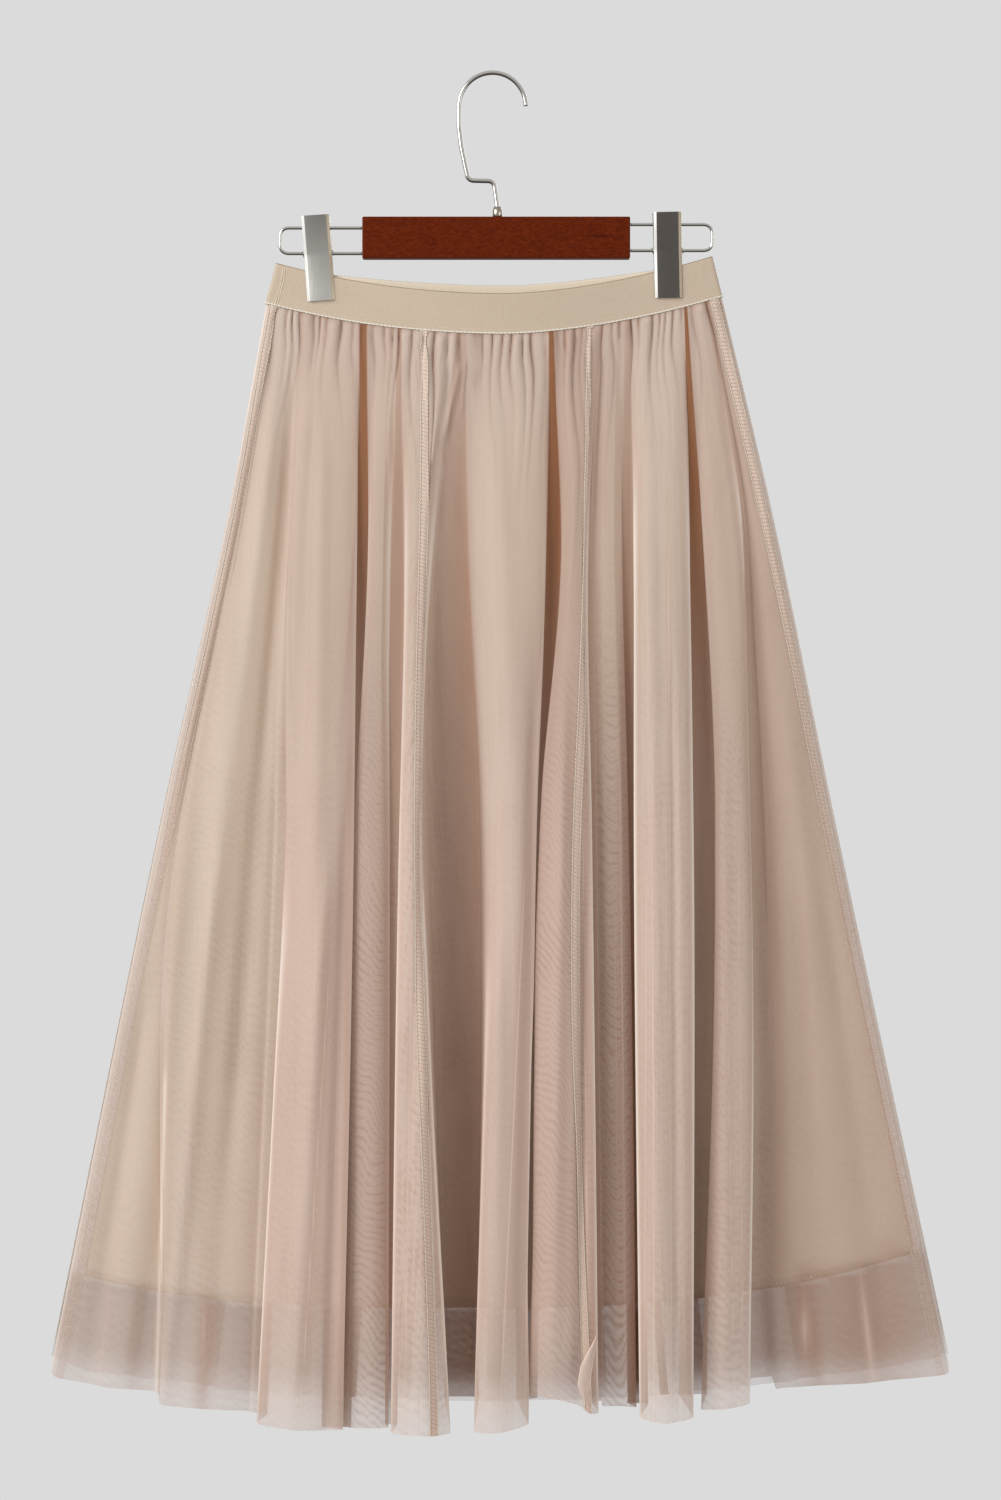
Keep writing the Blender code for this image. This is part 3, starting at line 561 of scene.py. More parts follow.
# How far the lining's outer side stands from the plane of the side seams: its full depth and two
# sine waves across it, tapered by a parabola towards the sides
def liningDepth(x, share, back):
    left, right = netEdges(share)
    inset, spread = along(share, lining["inset"]), along(share, lining["spread"])
    full = along(share, (0.0, *lining["back" if back else "front"]))
    full = full + (mouth(x) + lining["wall"]) * (1.0 - smooth(share / stations[1]))
    room = np.minimum(x - left - inset, right - inset - x) / spread
    taper = 1.0 - (1.0 - np.clip(room, 0.0, 1.0)) ** 2
    first, second = (2.0 * pi * x / length for length in lining["lengths"])
    ripple = np.sin(first + lining["backShift"] * back) + lining["secondWave"] * np.sin(second)
    wave = along(share, lining["wave"]) * ripple
    least = band["clamped"] + lining["wall"]
    return least + np.clip(full + wave - least, 0.0, None) * taper


# Each control point gives a quadratic arc between the middles of its two sides
def roundedRow(controls, counts):
    before = 0.5 * (controls[:, :-2] + controls[:, 1:-1])
    after = 0.5 * (controls[:, 1:-1] + controls[:, 2:])
    which = np.repeat(np.arange(len(counts)), counts)
    u = np.concatenate([np.arange(count) / count for count in counts])
    rounded = before[:, which] * (1 - u) ** 2 + 2 * controls[:, 1:-1][:, which] * u * (1 - u)
    rounded += after[:, which] * u * u
    return np.concatenate([rounded, after[:, -1:]], axis=1)


# Where the front's two gore seams cross their folds, as shares of the fold's width
seamPlaces = ((frontFolds[4], (0.42, 0.70, 0.78, 0.76)), (frontFolds[6], (0.67, 0.85, 0.51, 0.75)))


def seamPlace(fold, share):
    return next((along(share, values) for seamed, values in seamPlaces if seamed is fold), 0.5)


# The hem of this fold is drawn up to the left: its lift at the points over the crown
drawnUp = {"fold": frontFolds[6], "lifts": (16.0, 12.5, 7.0, 1.0, 0.0), "beside": 13.0}


# Control points of the net's rows, left to right: a corner at each edge of a fold, five points
# over its crown, and the hollow after it. Every value is an array over the rows
def netControls(folds, share):
    tucked = smooth(share / stations[2])
    controls, places = [], {}

    # edge is the paler fold edge with its painted highlight, dark the painted shade in a hollow
    def put(spot, edge=0.0, dark=0.0, lift=0.0, count=net["turnSteps"], arc=1.0):
        values = (*spot, lift, edge, dark, arc, fold.tone, *fold.moire)
        controls.append((np.array(np.broadcast_arrays(share, *values)[1:]), count))

    def towards(near, far, reach):
        step = np.minimum(reach / np.hypot(far[0] - near[0], far[1] - near[1]), 0.4)
        return near[0] + (far[0] - near[0]) * step, near[1] + (far[1] - near[1]) * step

    for row, fold in enumerate(folds):
        left, right = along(share, fold.left), along(share, fold.right)
        full, width = along(share, (0.0, *fold.depth)), right - left
        reach = np.minimum(along(share, net["corner"]), net["cornerShare"] * width)
        crown = along(share, net["crown"])
        edgeDepth, light = full * (1 - crown), smooth((share - 0.02) / 0.2)
        starts, ends = (left, edgeDepth), (right, edgeDepth)
        late = net["lateRims"].get(fold.name, 0.02)
        softer = net["softEdges"].get(fold.name, 0.0) * (1.0 - smooth((share - 0.5) / 0.2))
        soft = reach * (1.0 + softer)
        raised = drawnUp["lifts"] if fold is drawnUp["fold"] else (0.0,) * 5
        if row:
            put(towards(starts, hollow[1], soft), dark=shade * 0.25, lift=raised[0] * 0.8)
            put(starts, edge=smooth((share - late) / 0.2) * fold.rim[0], lift=raised[0])
        else:
            put((left, 0.0 * full), edge=0.7)
            put((left, 0.0 * full), edge=0.7)
            put((left + net["turn"], edgeDepth), edge=0.5)
        middle = seamPlace(fold, share)
        marks = (np.minimum(soft / width, 0.3), 0.6 * middle, middle, 0.4 + 0.6 * middle, 1 - reach / width)
        count = max(4, round((fold.right[0] - fold.left[0]) / len(marks) / net["crownPitch"]))
        for place, mark in enumerate(marks):
            places[fold.name, place] = len(controls)
            out = full * (1 - crown * np.abs(2 * mark - 1) ** 2.5)
            put((left + width * mark, out), lift=raised[place], count=count, arc=abs(place / 2.0 - 1.0))
        if fold.valley is None:
            put((right - net["turn"], edgeDepth), edge=0.5)
            put((right, 0.0 * full), edge=0.7)
            put((right, 0.0 * full), edge=0.7)
            continue
        put(ends, edge=light * fold.rim[1])
        following = folds[row + 1]
        after = along(share, following.left), along(share, (0.0, *following.depth)) * (1 - crown)
        floor, gap = along(share, (0.0, *fold.valley)), after[0] - right
        hollow = (
            (right + net["hollowShare"] * gap - fold.tuck[0] * tucked, floor),
            (after[0] - net["hollowShare"] * gap + fold.tuck[1] * tucked, floor),
        )
        shade = along(share, fold.dark)
        room = max(0.35 * (fold.depth[-1] - fold.valley[-1]) - 3.0, 0.0)
        lift = 1.0 + min(net["hollowLift"] * (following.left[-1] - fold.right[-1]), room)
        lift = drawnUp["beside"] if following is drawnUp["fold"] else lift
        lean = 1.0 - net["lean"] * smooth((gap - 10.0) / 22.0)
        # The hollow's painted shade, lighter towards its left in broad hollows
        put(towards(ends, hollow[0], reach), dark=shade * lean * 0.25)
        put(towards(hollow[0], ends, reach), dark=shade * lean, lift=lift)
        put(hollow[0], dark=shade * (0.4 + 0.6 * lean), lift=lift)
        put(hollow[1], dark=shade, lift=lift)
        put(towards(hollow[1], after, reach), dark=shade, lift=lift)
    return controls, places


# Gathers below the band: uneven puffs with a narrow trough of painted shade between each two.
# Each is a half sine across, to a power, and dies out exponentially, and a few run on. Gives
# their height and how dark the painted shade in their troughs is
gathers = {
    "pitch": (3.6, 10.8), "height": (1.0, 3.9), "length": (12.0, 42.0), "long": 70.0, "rise": 5.0,
    "round": 0.55, "trough": 1.15, "count": 78, "sway": 2.2,
}


def gatherHeight(topX, down):
    def draw(low, high):
        return low + (high - low) * dice.random(gathers["count"])

    widths = draw(*gathers["pitch"])
    edges = band["left"] - 4.0 + np.concatenate([[0.0], np.cumsum(widths)])
    height = draw(*gathers["height"]) * np.clip(widths / 7.0, 0.6, 1.25)
    length = draw(*gathers["length"]) + gathers["long"] * draw(0.0, 1.0) ** 4
    troughs, depths = draw(12.0, 38.0) + 60.0 * draw(0.0, 1.0) ** 3, draw(0.45, 1.05)
    swayed = topX + gathers["sway"] * np.sin(down / 23.0 + topX / 9.0) * smooth(down / 30.0)
    which = np.clip(np.searchsorted(edges, swayed, side="right") - 1, 0, gathers["count"] - 2)
    across = np.clip((swayed - edges[which]) / np.diff(edges)[which], 0.0, 1.0)
    ruffle = np.sin(pi * across) ** gathers["round"]
    fade = (0.3 + 0.7 * smooth(down / gathers["rise"])) * np.exp(-((down / length[which]) ** 1.3))
    side = np.where(across < 0.5, which, which + 1)
    dark = depths[side] * np.exp(-((down / troughs[side]) ** 1.5))
    narrow = gathers["trough"] * (1.0 - np.sin(pi * across)) ** 1.7 * dark
    return height[which] * ruffle * fade, narrow


# Creases, placed one by one: x where each starts and ends, the shares of the fall between which it
# runs, its half width and how far it stands out (or in, below zero)
frontCreases = (
    (-146, -196, 0.02, 0.6, 9, 4), (-138, -184, 0.05, 0.8, 6, -3.6), (-126, -150, 0.02, 0.45, 8, 3),
    (-176, -215, 0.2, 0.85, 11, 4), (-158, -196, 0.35, 1.02, 10, -2.2), (-205, -262, 0.4, 1.02, 14, 4),
    (-186, -229, 0.45, 1.02, 5, 3.6), (-236, -284, 0.6, 1.02, 8, -3.4), (-118, -124, 0.03, 0.7, 9, 2.4),
    (-112, -138, 0.45, 1.02, 8, 2.8), (-100, -112, 0.4, 1.02, 5, -3.4), (-52, -46, 0.45, 1.02, 7, 3),
    (-38, -56, 0.15, 0.75, 5, -2.6), (-20, -35, 0.02, 0.1, 2.6, 1.6), (-18.5, -21, 0.02, 0.08, 2.2, 1.4),
    (2, 20, 0.03, 0.65, 12, 2.2), (30, 22, 0.25, 0.95, 7, -3.2), (6, -2, 0.5, 1.02, 9, 3),
    (50, 40, 0.3, 1.02, 7, 3.4), (64, 60, 0.45, 1.02, 5, -4), (108, 114, 0.05, 1.02, 8, 2.8),
    (124, 127, 0.25, 1.02, 4, -1.8), (160, 158, 0.35, 1.02, 7, 3), (178, 198, 0.12, 1.02, 10, -4.5),
    (196, 250, 0.25, 1.02, 14, 3.6), (208, 226, 0.45, 1.02, 6, -3.2), (226, 282, 0.5, 1.02, 8, -2.6),
)
backCreases = (
    (-148, -270, 0.05, 1.02, 11, 2.4), (-118, -228, 0.1, 0.95, 6, -2.4), (-84, -160, 0.03, 0.8, 7, 2),
    (-50, -92, 0.2, 1.02, 6, 2.4), (-14, -30, 0.05, 0.9, 6, -2.2), (18, 40, 0.15, 1.02, 8, 2.4),
    (54, 112, 0.05, 0.85, 6, 2), (92, 186, 0.2, 1.02, 7, -2.4), (134, 262, 0.05, 1.02, 11, 2.4),
)


# The sum of the creases, each a bell curve across the line that runs from start to end
def creaseHeight(x, share, creases):
    total = np.zeros_like(x)
    for start, end, begin, finish, half, height in creases:
        run = (share - begin) / (finish - begin)
        width = half * (0.55 + 0.45 * np.clip(run, 0.0, 1.0))
        fade = smooth(run / 0.25) * smooth((1.06 - run) / 0.2)
        total += height * fade * np.exp(-(((x - start - (end - start) * run) / width) ** 2))
    return total


# Thin light lines in the net's edge mark, where the edge of a layer behind shows through and as
# painted highlights along ridges: x where each starts and ends, the share of the fall where it
# starts, its strength, then its half width if it isn't 0.85 and the share where it ends if that
# is above the hem
frontLines = (
    (-110, -132.6, 0.55, 0.7), (-103, -112.8, 0.5, 0.6), (-148, -158, 0.6, 0.5), (-92, -99, 0.42, 0.6),
    (-55, -60, 0.5, 0.6), (-50, -42, 0.45, 0.7), (-48, -36, 0.5, 0.7), (24, 4, 0.45, 0.7),
    (30, 22, 0.3, 0.6), (62, 66, 0.4, 0.7), (88, 92, 0.35, 0.7), (84.5, 87, 0.5, 0.5), (110, 110, 0.3, 0.7),
    (106, 103.5, 0.45, 0.6), (122, 122, 0.15, 0.7), (130, 131, 0.4, 0.5), (160, 166, 0.45, 0.6),
    (170, 172, 0.45, 0.6), (208, 221, 0.8, 0.7), (252, 266, 0.84, 0.7), (-226, -234.5, 0.66, 0.9, 2.6),
    (-196, -204, 0.85, 0.5), (-262, -276, 0.85, 0.4),
)
backLines = (
    (-120, -190, 0.3, 0.6), (-40, -60, 0.4, 0.6), (30, 52, 0.35, 0.6), (96, 170, 0.3, 0.6),
)
# Painted shade: dark bands of the same kind in the net's shade mark, where folds behind overlap
# and where shadow falls on the net
frontShadows = (
    (-195, -203, 0.89, 0.4, 5.5), (-246, -250, 0.9, 0.22, 5), (216, 228, 0.88, 0.45, 9),
    (244, 252, 0.88, 0.32, 8), (274, 288, 0.86, 0.28, 9), (96, 98, 0.5, 0.35, 2.6),
    (-98, -103, 0.35, 0.3, 2.6), (20, 10, 0.5, 0.16, 4), (-112, -122, 0.5, 0.12, 5),
    (190, 204, 0.35, 0.2, 8, 0.97), (84, 86, 0.7, 0.12, 5), (250, 262, 0.88, 0.36, 40),
    (52, 68, 0.3, 0.16, 5, 0.95), (-140, -183, 0.06, 0.16, 5, 0.7), (150, 215, 0.05, 0.16, 5),
)
backShadows = (
    (-160, -170, 0.88, 0.3, 6), (60, 66, 0.88, 0.3, 6), (190, 200, 0.88, 0.3, 6),
)
# Half width of such a line and the share of the fall where it ends, for rows without them
usualLine = (0.85, 1.02)


# The strongest of the lines at each point, each a bell curve across
def lineMarks(x, share, lines):
    total = np.zeros_like(x)
    for start, end, begin, strength, *rest in lines:
        width, finish = (*rest, *usualLine[len(rest):])
        run = (share - begin) / (finish - begin)
        near = np.exp(-(((x - start - (end - start) * run) / width) ** 2))
        total = np.maximum(total, strength * near * smooth(run / 0.15) * smooth((1.02 - run) / 0.03))
    return total


# Height of the lining's own hem at x: lowest in the middle, rising by a power towards each side
def liningHem(x, back):
    left, right = netEdges(lining["share"])
    inset = along(lining["share"], lining["inset"])
    across = 2.0 * np.clip((x - left - inset) / (right - left - 2.0 * inset), 0.0, 1.0) - 1.0
    end = np.where(across < 0.0, lining["hemLeft"], lining["hemRight"])
    rise = (lining["hemMiddle"] - end) * np.abs(across) ** np.where(across < 0.0, *lining["hemPower"])
    return rise - lining["hemMiddle"] + lining["backLift"] * back


# One side's net as a grid: the rounded rows, kept clear of the lining, gathered and creased.
# Gives the points, the marks, and the columns of the gore seams
def netSurface(folds, creases, lines, shadows, back):
    share = np.linspace(0.0, 1.0, net["rows"]) ** net["rowPower"]
    controls, places = netControls(folds, share)
    counts = [count for _, count in controls][1:-1]
    grid = np.stack([values for values, _ in controls], axis=2)
    x, depth, lift, *finishes = (roundedRow(values, counts) for values in grid)
    marks = dict(zip(("edge", "shade", "arc", "tone", "arcs", "strands", "streaks"), finishes))
    starts = np.concatenate([[0], np.cumsum(counts)])

    def column(name, place):
        control = places[name, place] - 1
        return int(starts[control] + counts[control] // 2)

    share = share[:, None]
    left, right = (side[:, None] for side in netEdges(share[:, 0]))
    inside = smooth(np.minimum(x - left, right - x) / net["sideRoom"])
    standing = mouth(x) + lining["wall"] + net["seam"] + net["wall"]
    depth = depth + standing * inside * (1.0 - smooth(share / stations[1]))
    fall = np.broadcast_to(share, x.shape)
    least = liningDepth(x, fall, back) + net["wall"] + net["clear"] * smooth(share / 0.035)
    depth = np.maximum(depth - net["wall"] / 2, least * inside)
    middles = [0.0, *(column(fold.name, 2) for fold in folds), x.shape[1] - 1.0]
    rise = net["backLift"] * back
    drops = [net["hemLeft"] - rise, *(fold.hem for fold in folds), net["hemRight"] - rise]
    hem = lift[-1] - np.interp(np.arange(x.shape[1]), middles, drops)
    topZ = bandLow(x[0], back) - net["seam"]
    z = topZ + (hem - topZ) * share
    ruffles, troughs = gatherHeight(x[0], topZ - z)
    height = ruffles + creaseHeight(x, share, creases)
    acrossX, acrossDepth = np.gradient(x, axis=1), np.gradient(depth, axis=1)
    length = np.hypot(acrossX, acrossDepth) + 1e-6
    x = x - acrossDepth / length * height * inside
    depth = depth + np.maximum(acrossX / length, 0.0) * height * inside
    behind = liningDepth(x, fall, back)
    depth = np.maximum(depth, (behind + net["shell"]) * inside)
    points = np.stack([x, depth if back else -depth, z], axis=2)
    fallen = topZ - z
    deep = smooth((depth - 18.0) / 36.0) * (1.0 - marks["shade"])
    below = liningHem(x, back) - z + net["lookDown"] * (depth - behind)
    bare = smooth((below + 0.6) / 2.0) * (1.0 - 0.8 * deep)
    # Painted shade: the bare net's darkening eases towards the left, where no shadow falls behind the skirt
    bare = bare * (1.0 - 0.3 * smooth((-x - 130.0) / 150.0))
    deep = deep * (1.0 - 0.6 * smooth((below - 8.0) / 50.0))
    # Painted shade at the top of each hollow, and a painted shadow just under the band, both in the trough mark
    hollowTopShade = 0.55 * marks["shade"] * np.exp(-fallen / 70.0)
    bandShadow = 0.45 * np.exp(-fallen / 1.6)
    marks.update({
        "edge": np.minimum(np.maximum(marks["edge"] * 1.33, lineMarks(x, share, lines)), 1.0),
        "shade": np.clip(marks["shade"] + lineMarks(x, share, shadows), 0.0, 1.0),
        "trough": np.clip(troughs + bandShadow + hollowTopShade, 0.0, 1.0),
        "dense": 0.75 * np.exp(-fallen / 55.0) + 0.2 * smooth((share - 0.994) / 0.006) * (not back),
        "thin": smooth((share - 0.97) / 0.03) * (0.6 if back else 0.3) * np.ones_like(x),
        "deep": deep, "bare": bare,
    })
    for grain in ("arcs", "strands"):
        marks[grain] = marks[grain] * smooth((share - 0.12) / 0.35)
    cuts = [0, *(column(name, place) for name, place in net["cuts"]), x.shape[1] - 1]
    return points, marks, cuts


# The turned-up corner of the hem that is drawn up: x, height and depth down the flap's left and
# right edges
flap = {
    "left": (
        (71.6, 65.5, 60.1, 58.0, 63.4), (-870.2, -881.1, -891.3, -904.9, -917.8),
        (70.0, 72.5, 74.0, 74.0, 73.0)),
    "right": (
        (71.9, 69.9, 67.9, 65.9, 63.8), (-870.2, -882.4, -894.7, -907.0, -918.1),
        (69.5, 70.5, 71.5, 72.0, 72.5)),
    "bulge": 1.4, "rows": 60, "columns": 24,
}


# The flap is ruled between its two edges and bulges by a sine across
def makeFlap(material):
    row = np.linspace(0.0, 4.0, flap["rows"])
    left, right = (
        np.stack([np.interp(row, range(5), axis) for axis in flap[side]], axis=1) for side in ("left", "right"))
    for edge in (left, right):
        edge[1:-1] = (edge[:-2] + 2.0 * edge[1:-1] + edge[2:]) / 4.0
    across = np.linspace(0.0, 1.0, flap["columns"])[None, :, None]
    spots = left[:, None] * (1.0 - across) + right[:, None] * across
    points = np.stack([spots[..., 0], -spots[..., 2], spots[..., 1]], axis=2)
    points[..., 1] -= flap["bulge"] * np.sin(pi * across[..., 0] ** 0.7)
    # Its edges are paler by the edge mark: denser net seen edge-on, with a painted highlight
    rim = (1.0 - np.sin(pi * across[..., 0])) ** 3
    marks = {"edge": rim, "dense": 0.2, "deep": 1.0}
    made = gridObject("net_hem_flap", points, material, clothUv(points), marks, flip=True)
    return made


# Distances across and down the cloth, for the finish
def clothUv(points):
    across = distancesAlong(points)
    across -= across[:, across.shape[1] // 2][:, None]
    down = distancesAlong(np.swapaxes(points, 0, 1)).mean(axis=0)[:, None]
    return np.stack([across, np.broadcast_to(down, across.shape)], axis=2)


def makeNet(side, folds, creases, lines, shadows, back, material):
    points, marks, cuts = netSurface(folds, creases, lines, shadows, back)
    gores = {}
    for gore, first, last in zip(("left", "centre", "right"), cuts, cuts[1:]):
        part = points[:, first : last + 1]
        own = {name: values[:, first : last + 1] for name, values in marks.items()}
        name = f"{side}_{gore}"
        made = gridObject(f"net_{name}", part, material, clothUv(part), own, flip=not back)
        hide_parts(f"tulle_{name}")
        gores[name] = made
    return points, cuts, gores


# Points on the cloth at given distances along each row
def onCloth(points, distances):
    arc = distancesAlong(points)
    base = np.arange(len(points))[:, None] * 1e5
    wanted = (np.clip(distances, 0.0, arc[:, -1:]) + base).ravel()
    axes = [np.interp(wanted, (arc + base).ravel(), points[..., axis].ravel()) for axis in range(3)]
    return np.stack(axes, axis=1).reshape(*distances.shape, 3)


# A strip down the cloth: centre is its distance along each row, offsets run across it, and lift
# raises each of its points off the cloth, along the normal there
def stripOn(points, centre, offsets, lift, back):
    strip = onCloth(points, centre[:, None] + offsets)
    across, down = np.gradient(strip, axis=1), np.gradient(strip, axis=0)
    normal = unit(np.cross(across, down) if back else np.cross(down, across))
    return strip + normal * np.broadcast_to(lift, strip.shape[:2])[..., None], normal


# How far along each row a column lies
def arcTo(points, column):
    return distancesAlong(points)[:, column]


# Values [n, ...] drawn again at even steps along the line through them
def resample(line, count, values):
    arc = distancesAlong(line)
    place = np.interp(np.linspace(0.0, arc[-1], count), arc, np.arange(len(arc)))
    low = np.minimum(place.astype(int), len(arc) - 2)
    share = (place - low).reshape(-1, *[1] * (values.ndim - 1))
    return values[low] * (1.0 - share) + values[low + 1] * share


# Overlock ribbon over a seam: a domed strip of doubled net, a rail of thread along each edge and
# a rung of thread across it every few millimetres. fade thins it down its length, and shade
# gives a hem's ribbon and its threads the lining's painted shade at x
overlock = {
    "width": 5.4, "dome": 0.55, "lift": 0.25, "rung": 2.7, "thread": 0.32, "rail": 0.36, "wave": 0.35,
    "uneven": 0.06, "hemUp": 2.1, "hemWidth": 4.2, "hemLift": 0.5, "hemSwell": 1.3, "hemShade": 0.22,
    "fadeFrom": 0.3, "fadeOver": 0.35, "sideFade": 0.75,
}


def makeSeam(name, points, centre, back, cloth, thread, shade=None, fade=0.0):
    width = overlock["hemWidth" if shade else "width"]
    shaded = shade or np.zeros_like

    def kept(count):
        fall = np.linspace(0.0, 1.0, count)
        return 1.0 - fade * smooth((fall - overlock["fadeFrom"]) / overlock["fadeOver"])

    def threads(part, paths, upwards, radii):
        marks = {"shade": shaded(paths[..., 0])}
        made = tubesObject(f"{part}_{name}", paths, upwards, radii, 3, thread, marks)
        return made

    offsets = np.linspace(-0.5, 0.5, 7) * width
    lift = overlock["dome"] * np.sqrt(1.0 - 0.9 * (2 * offsets / width) ** 2)
    lift += overlock["hemLift" if shade else "lift"]
    strip, normal = stripOn(points, centre, offsets, lift, back)
    middle = strip[:, 3]
    count = int(distancesAlong(middle)[-1] / overlock["rung"])
    fine = resample(middle, count * 2, strip)
    row = np.linspace(0.0, 1.0, len(fine))[:, None]
    darker = overlock["hemShade"] if shade else 0.0
    marks = {
        "edge": 0.2, "dense": 1.0, "deep": 0.4 + 0.5 * row, "tone": 0.1 + 0.35 * row,
        "thin": 1.0 - kept(len(fine))[:, None], "shade": np.minimum(shaded(fine[..., 0]) + darker, 1.0),
    }
    ribbon = gridObject(f"ribbon_{name}", fine, cloth, clothUv(fine), marks, flip=not back)
    # Rungs: from one edge to the other, slanting down, drawn to a point at both ends
    strip, ups = resample(middle, count * 4, strip), resample(middle, count * 4, normal)
    at = np.arange(count - 2)[:, None] * 4 + np.array([1, 1, 2, 2, 3])
    across = np.array([0, 2, 3, 4, 6])
    rise = overlock["thread"] * (1.0 + overlock["uneven"] * (dice.random((count - 2, 1)) - 0.5))
    thick = overlock["thread"] * (overlock["hemSwell"] if shade else 1.0) * kept(count - 2)
    radii = thick[:, None] * np.array([0.55, 1.0, 1.1, 1.0, 0.55])
    paths = strip[at, across] + ups[at, across] * rise[..., None]
    rungs = threads("rungs", paths, ups[at, across], radii)
    # Rails: one thread down each edge, swinging in and out at the rungs
    swing = overlock["wave"] * np.sin(np.arange(len(strip)) * pi / 2.0)[:, None]
    swing = swing * unit(strip[:, 3] - strip[:, 0])
    radii = overlock["rail"] * kept(len(strip))
    radii[[0, -1]] = 0.02
    paths = np.stack([strip[:, edge] + swing + ups[:, edge] * overlock["rail"] for edge in (0, 6)])
    return ribbon, rungs, threads("rails", paths, np.stack([ups[:, 0], ups[:, 6]]), radii)


# The side seams lie a little in from the outline on the front
sideSeam = {"inset": 5.6, "spread": 1.4}


# How far along each row the cloth runs before it is that far in from its first point
def arcInside(points, inset):
    inwards = np.maximum.accumulate(np.abs(points[..., 0] - points[:, :1, 0]), axis=1)
    return np.array([np.interp(*row) for row in zip(inset, inwards, distancesAlong(points))])


# How dark the painted shade on the lining is behind each hollow of the net in front of it
def liningShade(x, share, folds):
    shade = np.zeros_like(x)
    for fold, after in zip(folds, folds[1:]):
        left, right = along(share, fold.right), along(share, after.left)
        across = np.clip((right - x) / (right - left + 1e-6), 0.0, 1.0)
        lean = net["lean"] * smooth((right - left - 10.0) / 22.0) * across
        between = smooth((x - left + 3.0) / 5.0) * smooth((right + 3.0 - x) / 5.0)
        shade = np.maximum(shade, along(share, fold.dark) * (1.0 - lean) * between)
    return np.clip(shade, 0.0, 1.0)


# A panel's rows are even shares of its fall, and its points stand evenly across each row
def makeLiningPanel(side, folds, back, material, thread):
    def hemShade(x):
        return liningShade(x, np.full_like(x, lining["share"]), folds)

    across = np.linspace(0.0, 1.0, lining["columns"])[None, :]
    row = np.linspace(0.0, 1.0, lining["rows"])[:, None]
    share = row * lining["share"]
    left, right = netEdges(share)
    inset = along(share, lining["inset"])
    x = left + inset + (right - left - 2.0 * inset) * across
    share = np.broadcast_to(share, x.shape)
    closed = smooth(np.minimum(x - x[:, :1], x[:, -1:] - x) / net["sideRoom"])
    apart = liningDepth(x, share, back) - lining["wall"] / 2 - lining["shell"] / 2
    depth = lining["shell"] / 2 + apart * closed
    top = bandLow(x[0], back) - net["seam"]
    z = top + (liningHem(x[-1], back) - top) * row
    points = np.stack([x, depth if back else -depth, z], axis=2)
    marks = {"shade": liningShade(x, share, folds)}
    made = gridObject(f"lining_{side}_cloth", points, material, clothUv(points), marks, flip=not back)
    thick = made.modifiers.new("wall", "SOLIDIFY")
    thick.thickness = lining["shell"] * mm
    thick.offset = 0.0
    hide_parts(f"lining_{side}")
    # Overlocked hem: the same ribbon turned to run along the hem, on both of its sides
    turned = np.swapaxes(points, 0, 1)
    centre = distancesAlong(turned)[:, -1] - overlock["hemUp"]
    pieces = []
    for layer, inner in (("out", not back), ("in", back)):
        pieces += makeSeam(f"hem_{side}_{layer}", turned, centre, inner, material, thread, hemShade)
    return made


# The loop's points, offset outwards from the middle of its wall, at a share of its height
def bandRing(offset, heightShare):
    turn = np.linspace(-pi / 2, pi / 2, band["endSteps"])
    radius = band["clamped"] + band["wall"] / 2
    reach = radius + offset
    inner = (band["left"] + radius + band["wall"] / 2, band["right"] - radius - band["wall"] / 2)
    x = np.linspace(*inner, band["columns"])
    depth = mouth(x) + band["wall"] / 2 + offset
    right = np.stack([inner[1] + reach * np.cos(turn), reach * np.sin(turn)], axis=1)
    left = np.stack([inner[0] - reach * np.cos(turn), -reach * np.sin(turn)], axis=1)
    front = np.stack([x, -depth], axis=1)[1:-1]
    back = np.stack([x, depth], axis=1)[-2:0:-1]
    loop = np.concatenate([front, right, back, left])
    low = bandLow(loop[:, 0], loop[:, 1] > 0.0)
    narrow = 1.0 - (1.0 - band["topShare"]) * heightShare
    x = band["mouthX"] + (loop[:, 0] - band["mouthX"]) * narrow
    return np.stack([x, loop[:, 1], low + band["height"] * heightShare], axis=1)


